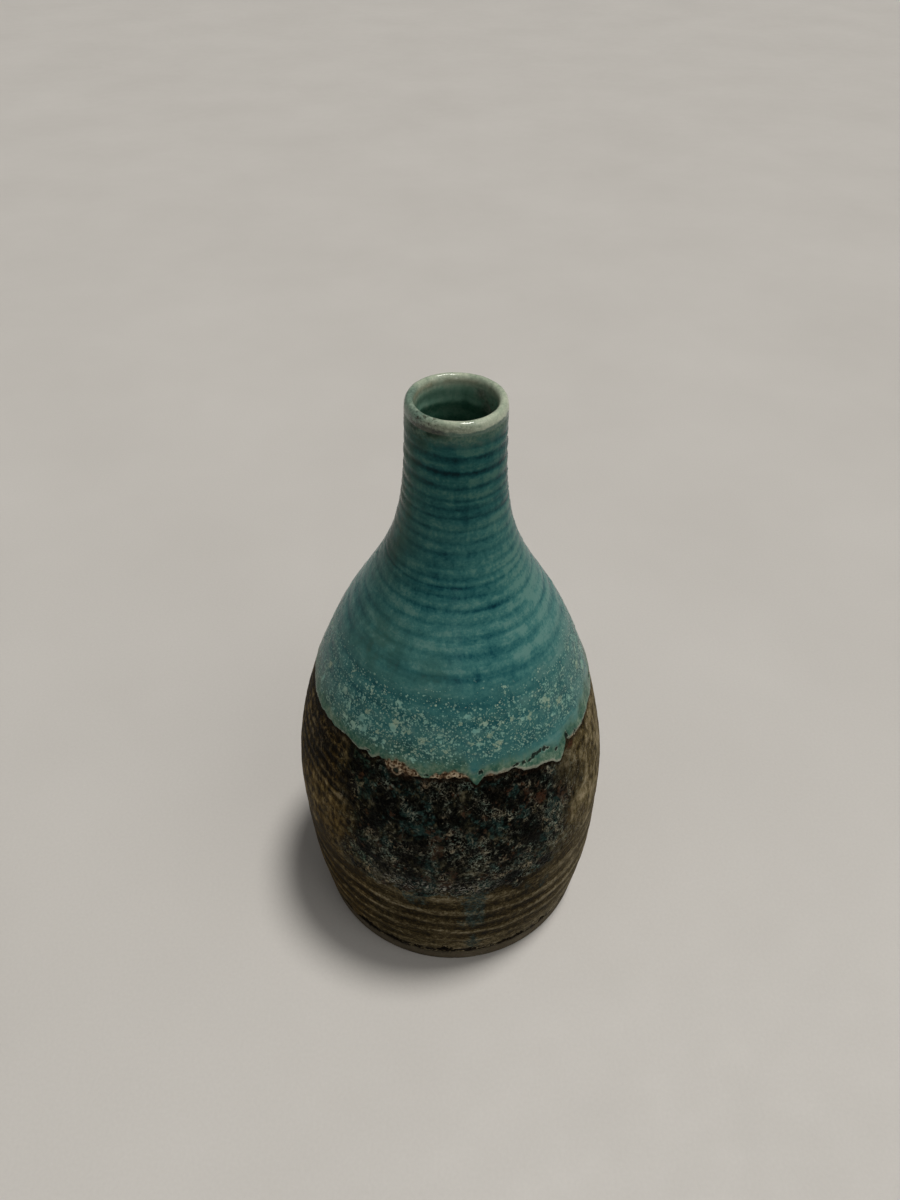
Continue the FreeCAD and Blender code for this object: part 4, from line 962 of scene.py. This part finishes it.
def liner_piece():
    rows = []
    n_in, n_lip = 160, 320
    lo_phi = spin(n_in)
    # floor, with the thrower's spiral
    rows.append({"phi": np.zeros(1), "co": point(np.zeros(1), np.full(1, 10.9), np.zeros(1)), "deep": 1.0})
    for r in list(np.linspace(2, 43, 24)):
        z = 10.5 + 0.35 * np.cos(TAU * (r / 7.0 - lo_phi / TAU)) * smooth(0, 6, r) + 0.5 * bell(r, 0, 8)
        rows.append({"phi": lo_phi, "co": point(lo_phi, z, np.full(n_in, r)), "deep": 1.0})
    for z, r in inside(0.5, 2):
        zz, rr = np.full(n_in, z), np.full(n_in, r)
        q = point(lo_phi, zz, rr)
        swell = 0.30 * np.cos(TAU * (z / 9.0 - lo_phi / TAU)) * smooth(12, 30, z) * smooth(212, 196, z)
        rows.append({"phi": lo_phi, "co": point(lo_phi, zz, rr + swell + 0.12 * noise3(q / 12.0, 231)), "deep": 1.0})
    phi = lo_phi
    for z in np.arange(215.2, 244.0, 1.1):
        q = point(phi, np.full(n_in, z), 13.5)
        rows.append({"phi": phi, "co": point(phi, np.full(n_in, z), 13.55 + throat(phi, z)), "deep": deep_share(phi, z, q)})
    phi = spin(n_lip)
    for z in np.arange(244.2, 256.4, 0.6):
        q = point(phi, np.full(n_lip, z), 13.5)
        rows.append({"phi": phi, "co": point(phi, np.full(n_lip, z), 13.55 + throat(phi, z)), "deep": deep_share(phi, z, q),
                     "inner": 0.5 * smooth(254.0, 257.0, z) * inner_line(phi), "bare": bare_patch(phi, z), "rim": smooth(255.6, 257.6, z) * 0.6})
    # over the lip: the top and outer side, a rounded and slightly uneven roll
    q = np.stack([17 * np.sin(phi), -17 * np.cos(phi), np.zeros_like(phi)], -1)
    crown = 260.0 + 0.16 * noise3(q / 11.0, 241) + 0.05 * noise3(q / 3.0, 242) - 0.16
    for t in np.linspace(0, 1, 25):
        a = t * math.pi
        # section: from (13.55, 256.8) over the crown to (outside, 256.6)
        mid, half = 15.24, 1.69
        c, s = math.cos(a), math.sin(a)
        power = 0.86
        rr = mid - half * math.copysign(abs(c) ** power, c)
        zz = 256.7 + (crown - 256.7) * abs(s) ** power
        bump = 0.12 * noise3(np.stack([q[:, 0], q[:, 1], np.full(n_lip, 3.0 * t)], -1) / 5.0, 243)
        notch = 0.45 * bell(turn(phi, -73), 0, 6) * bell(t, .8, .25)
        rr = rr + throat(phi, 257.0) * (1 - t) + (lip_blend(phi)) * t + (bump - notch) * math.sin(a)
        rows.append({"phi": phi, "co": point(phi, zz, rr), "rim": smooth(0.04, 0.20, np.full(n_lip, t)) * 0.4 + 0.6,
                     "inner": bell(t, 0.11, 0.09) * inner_line(phi),
                     "outer": smooth(0.62, 0.86, np.full(n_lip, t) + 0.07 * noise3(q / 5.0, 245)) * outer_line(phi),
                     "bare": bare_patch(phi, 258.0) * smooth(0.35, 0.1, np.full(n_lip, t)), "pits": pit_share(phi) * smooth(0.30, 0.62, t) * 1.0,
                     "skirt": smooth(258.6, 256.3, zz + lip_low(phi)) * smooth(0.5, 0.6, t), "left": left_share(phi), "olive": olive_share(phi)})
    for z in (256.25, 255.9, LIP_LINE):
        zz = np.full(n_lip, z)
        rows.append({"phi": phi, "co": on_wall(phi, zz, lip_blend(phi)), "rim": 1.0, "outer": outer_line(phi), "pits": pit_share(phi),
                     "skirt": 1.0, "left": left_share(phi), "olive": olive_share(phi)})
    # the face against the clay
    for z, h in ((LIP_LINE, -0.55), (257.3, -0.60)):
        rows.append({"phi": phi, "co": on_wall(phi, np.full(n_lip, z), np.full(n_lip, h))})
    for z, r in ((258.7, 15.9), (259.1, 15.2), (258.8, 14.5), (257.4, 14.15)):
        rows.append({"phi": phi, "co": point(phi, np.full(n_lip, z), np.full(n_lip, r))})
    for z in (252.0, 244.0):
        rows.append({"phi": phi, "co": point(phi, np.full(n_lip, z), np.full(n_lip, 14.05))})
    for z in (236.0, 226.0, 217.0):
        rows.append({"phi": lo_phi, "co": point(lo_phi, np.full(n_in, z), np.full(n_in, 14.05))})
    for z, r in inside(0.0, 6)[::-1]:
        rows.append({"phi": lo_phi, "co": point(lo_phi, np.full(n_in, z), np.full(n_in, r + 0.05 * 0))})
    for r in (36.0, 24.0, 12.0, 4.0):
        rows.append({"phi": lo_phi, "co": point(lo_phi, np.full(n_in, 9.95), np.full(n_in, r))})
    rows.append({"phi": np.zeros(1), "co": point(np.zeros(1), np.full(1, 9.95), np.zeros(1))})
    return shell("vase_liner", rows, False, "liner_glaze", MATERIALS["liner"])


def throat(phi, z):
    q = np.stack([13.5 * np.sin(phi), -13.5 * np.cos(phi), np.broadcast_to(np.asarray(z, float), phi.shape)], -1)
    return 0.16 * noise3(q / 9.0, 251) + 0.10 * np.cos(TAU * (z / 5.2 - phi / TAU)) - 0.05


def deep_share(phi, z, q):
    border = 251.0 + 1.1 * fbm(q / 7.0, 252, 3) + 0.5 * np.cos(phi)
    return smooth(0.7, -0.7, z - border)


def inner_line(phi):
    return 0.35 + 0.65 * smooth(60, 20, np.abs(turn(phi, -128))) + 0.35 * smooth(40, 10, np.abs(turn(phi, 150)))


def outer_line(phi):
    return np.clip(0.10 + 0.95 * smooth(50, 15, np.abs(turn(phi, -6))) - 0.2 * smooth(25, 10, np.abs(turn(phi, -60))), 0, 1)


def pit_share(phi):
    return smooth(26, 12, np.abs(turn(phi, -40))) + 0.35 * smooth(30, 14, np.abs(turn(phi, 150)))


def olive_share(phi):
    return np.clip(0.15 + 0.85 * smooth(34, 14, np.abs(turn(phi, -34))) + 0.4 * smooth(40, 20, np.abs(turn(phi, 170))), 0, 1)


def lip_low(phi):
    """The pale lip line runs a little lower at some places."""
    return 0.35 * np.cos(phi) + 0.25 * np.sin(2 * phi + 0.6) + 0.15 * np.sin(5 * phi)


def left_share(phi):
    return np.clip(smooth(55, 25, np.abs(turn(phi, -78))) + 0.55 * smooth(30, 12, np.abs(turn(phi, -36))), 0, 1)


def bare_patch(phi, z):
    return 0.9 * bell(turn(phi, 118), 0, 22) * bell(z, 251.5, 4.0) + 0.7 * bell(turn(phi, 143), 0, 9) * bell(z, 255.0, 2.0)


def clay_piece():
    rows = []
    n, n_low = 720, 180
    # underside: the turned recess, from its middle out to the foot ring
    rows.append({"phi": np.zeros(1), "co": point(np.zeros(1), np.full(1, 3.25), np.zeros(1))})
    ring = spin(n_low)
    for r in list(np.linspace(1.5, 50.0, 60)):
        z = 3.0 + 0.10 * np.cos(TAU * (r / 2.6 - ring / TAU)) * smooth(0, 5, r) + 0.25 * bell(r, 0, 4)
        q = point(ring, z, np.full(n_low, r))
        rows.append({"phi": ring, "co": point(ring, z + 0.05 * fbm(q / 4.0, 261, 2), np.full(n_low, r))})
    for a in np.linspace(0, 90, 7):
        r, z = 51.6 + 2.4 * math.sin(a * DEG), 3.0 - 2.2 * (1 - math.cos(a * DEG))
        rows.append({"phi": ring, "co": point(ring, np.full(n_low, z), np.full(n_low, r))})
    for a in np.linspace(15, 90, 5):
        r, z = 54.05 + 0.8 * (1 - math.cos(a * DEG)), 0.8 * (1 - math.sin(a * DEG))
        rows.append({"phi": ring, "co": point(ring, np.full(n_low, z), np.full(n_low, r))})
    for r in (56.2, 57.6, 59.0, 60.4, 61.8):
        rows.append({"phi": ring, "co": point(ring, np.full(n_low, 0.0), np.full(n_low, r))})
    mid = spin(n_low * 2)
    rows.append({"phi": mid, "co": point(mid, np.full(n_low * 2, 0.0), np.full(n_low * 2, 62.7))})
    phi = spin(n)
    q = np.stack([64 * np.sin(phi), -64 * np.cos(phi), np.zeros_like(phi)], -1)
    nick = 0.45 * smooth(0.42, 0.75, noise3(q / 3.4, 263)) + 0.30 * smooth(0.5, 0.7, noise3(q / 1.5, 264))
    for a in np.linspace(0, 90, 7):
        r = outside(0.9) - 0.42 - 0.9 * (1 - math.sin(a * DEG)) - nick * math.sin(2 * a * DEG) * 0.8
        z = 0.9 * (1 - math.cos(a * DEG)) + nick * math.sin(2 * a * DEG) * 0.5
        rows.append({"phi": phi, "co": point(phi, z, r), "chip": nick * 0.6 * math.sin(2 * a * DEG)})
    low = foot_edge(phi)
    for s in np.linspace(0.08, 1.0, 14):
        z = 0.9 + s * (low + 0.25 - 0.9)
        p = point(phi, z, np.full(n, 64.5))
        chip = chips(phi, z)
        h = -0.42 + 0.07 * fbm(p / np.array([4.0, 4.0, 1.2]), 266, 3) + wobble(p) - chip * 0.8
        rows.append({"phi": phi, "co": on_wall(phi, z, h), "chip": np.clip(chip * 1.8, 0, 1), "arris": bell(z, 9.4, 2.0)})
    rows.append({"phi": phi, "co": on_wall(phi, low + 0.6, np.full(n, -0.9))})
    mid = spin(360)
    rows.append({"phi": mid, "co": on_wall(mid, np.full(360, 11.5), np.full(360, -0.92))})
    for z in (18, 26, 34, 42, 50, 58, 66, 74, 82, 90, 98, 106, 114, 122, 130, 138, 146, 154, 162, 170, 178, 185, 192, 199, 206, 213, 221, 230, 240, 250, 255.6):
        rows.append({"phi": ring, "co": on_wall(ring, np.full(n_low, float(z)), np.full(n_low, -0.92))})
    for z, r in ((257.3, 16.1), (258.5, 15.7), (258.9, 15.2), (258.6, 14.7), (257.4, 14.3), (252.0, 14.15), (244.0, 14.15), (236.0, 14.15), (226.0, 14.15), (217.0, 14.15)):
        rows.append({"phi": ring, "co": point(ring, np.full(n_low, z), np.full(n_low, r))})
    for z, r in inside(-0.12, 6)[::-1]:
        rows.append({"phi": ring, "co": point(ring, np.full(n_low, z), np.full(n_low, r))})
    for r in (36.0, 24.0, 12.0, 4.0):
        rows.append({"phi": ring, "co": point(ring, np.full(n_low, 9.85), np.full(n_low, r))})
    rows.append({"phi": np.zeros(1), "co": point(np.zeros(1), np.full(1, 9.85), np.zeros(1))})
    return shell("vase_clay", rows, False, "stoneware_body", MATERIALS["clay"])


turquoise_piece()
lava_piece()
wash_piece()
liner_piece()
clay_piece()


# ------------------------------------------------------------------ floor, light and camera
def floor_piece():
    m = Mat("floor_paper")
    mm = m.mm()
    tint = m.ramp(m.add(m.mul(m.noise(mm, 0.006, 3), 0.6), m.mul(m.noise(mm, 0.7, 3), 0.4)), [(0.3, (.585, .565, .535)), (0.7, (.645, .625, .595))])
    mat = m.finish(tint, m.span(m.noise(mm, 0.05, 3), 0.3, 0.7, 0.55, 0.68, "LINEAR"), m.bump(m.noise(mm, 0.9, 3), 0.03))
    size, n = 4.0, 24
    xs = np.linspace(-size, size, n + 1)
    gx, gy = np.meshgrid(xs, xs + 1.0)
    verts = np.stack([gx.ravel(), gy.ravel(), np.zeros(gx.size)], 1)
    k = np.arange(n * n)
    i = (k // n) * (n + 1) + k % n
    faces = np.stack([i, i + 1, i + n + 2, i + n + 1], 1)
    mesh = bpy.data.meshes.new("floor")
    mesh.from_pydata(verts.tolist(), [], faces.tolist())
    mesh.update()
    mesh.materials.append(mat)
    obj = bpy.data.objects.new("floor", mesh)
    bpy.context.scene.collection.objects.link(obj)
    return obj


floor_piece()


def area(name, at, aim, size, watts, colour):
    data = bpy.data.lights.new(name, "AREA")
    data.shape = "RECTANGLE"
    data.size, data.size_y = size
    data.energy = watts
    data.color = colour
    obj = bpy.data.objects.new(name, data)
    obj.location = at
    obj.rotation_mode = "QUATERNION"
    obj.rotation_quaternion = (Vector(aim) - Vector(at)).to_track_quat("-Z", "Y")
    bpy.context.scene.collection.objects.link(obj)
    return obj


def sun(name, towards, strength, angle, colour):
    data = bpy.data.lights.new(name, "SUN")
    data.energy = strength
    data.angle = angle * DEG
    data.color = colour
    obj = bpy.data.objects.new(name, data)
    obj.location = [1.5 * c for c in towards]
    obj.rotation_mode = "QUATERNION"
    obj.rotation_quaternion = Vector(towards).to_track_quat("Z", "Y")
    bpy.context.scene.collection.objects.link(obj)


sun("key", (0.20, 0.10, 1.0), 1.85, 12.0, (1.0, 0.97, 0.925))
sun("fill", (0.95, -0.65, 1.1), 0.42, 40.0, (1.0, 0.98, 0.95))
area("glint", (0.13, -1.7, 0.62), (0, 0, 0.15), (0.07, 0.45), 0.9, (1.0, 1.0, 1.0))

world = bpy.data.worlds.new("studio")
bpy.context.scene.world = world
world.use_nodes = True
back = world.node_tree.nodes["Background"]
back.inputs["Color"].default_value = (1.0, 0.98, 0.95, 1.0)
back.inputs["Strength"].default_value = 0.15
bpy.context.scene.view_settings.view_transform = "Standard"

cam_data = bpy.data.cameras.new("camera")
cam_data.sensor_fit = "AUTO"
cam_data.sensor_width = 36.0
cam_data.lens = 867.0 / 1200.0 * 36.0
cam_data.clip_start = 0.01
cam_data.clip_end = 50.0
camera = bpy.data.objects.new("camera", cam_data)
pitch, roll, yaw = 43.2549 * DEG, -0.8903 * DEG, 0.2533 * DEG
turn_z = np.array([[math.cos(yaw), -math.sin(yaw), 0], [math.sin(yaw), math.cos(yaw), 0], [0, 0, 1]])
fwd = turn_z @ np.array([0, math.cos(pitch), -math.sin(pitch)])
right = turn_z @ np.array([1.0, 0, 0])
down = np.cross(fwd, right)
right2 = math.cos(roll) * right + math.sin(roll) * down
down2 = -math.sin(roll) * right + math.cos(roll) * down
spot = np.array([-0.0009, -0.9449 * 0.26, 1.5456 * 0.26])
camera.matrix_world = Matrix([[right2[i], -down2[i], -fwd[i], spot[i]] for i in range(3)] + [[0, 0, 0, 1]])
bpy.context.scene.collection.objects.link(camera)
bpy.context.scene.camera = camera
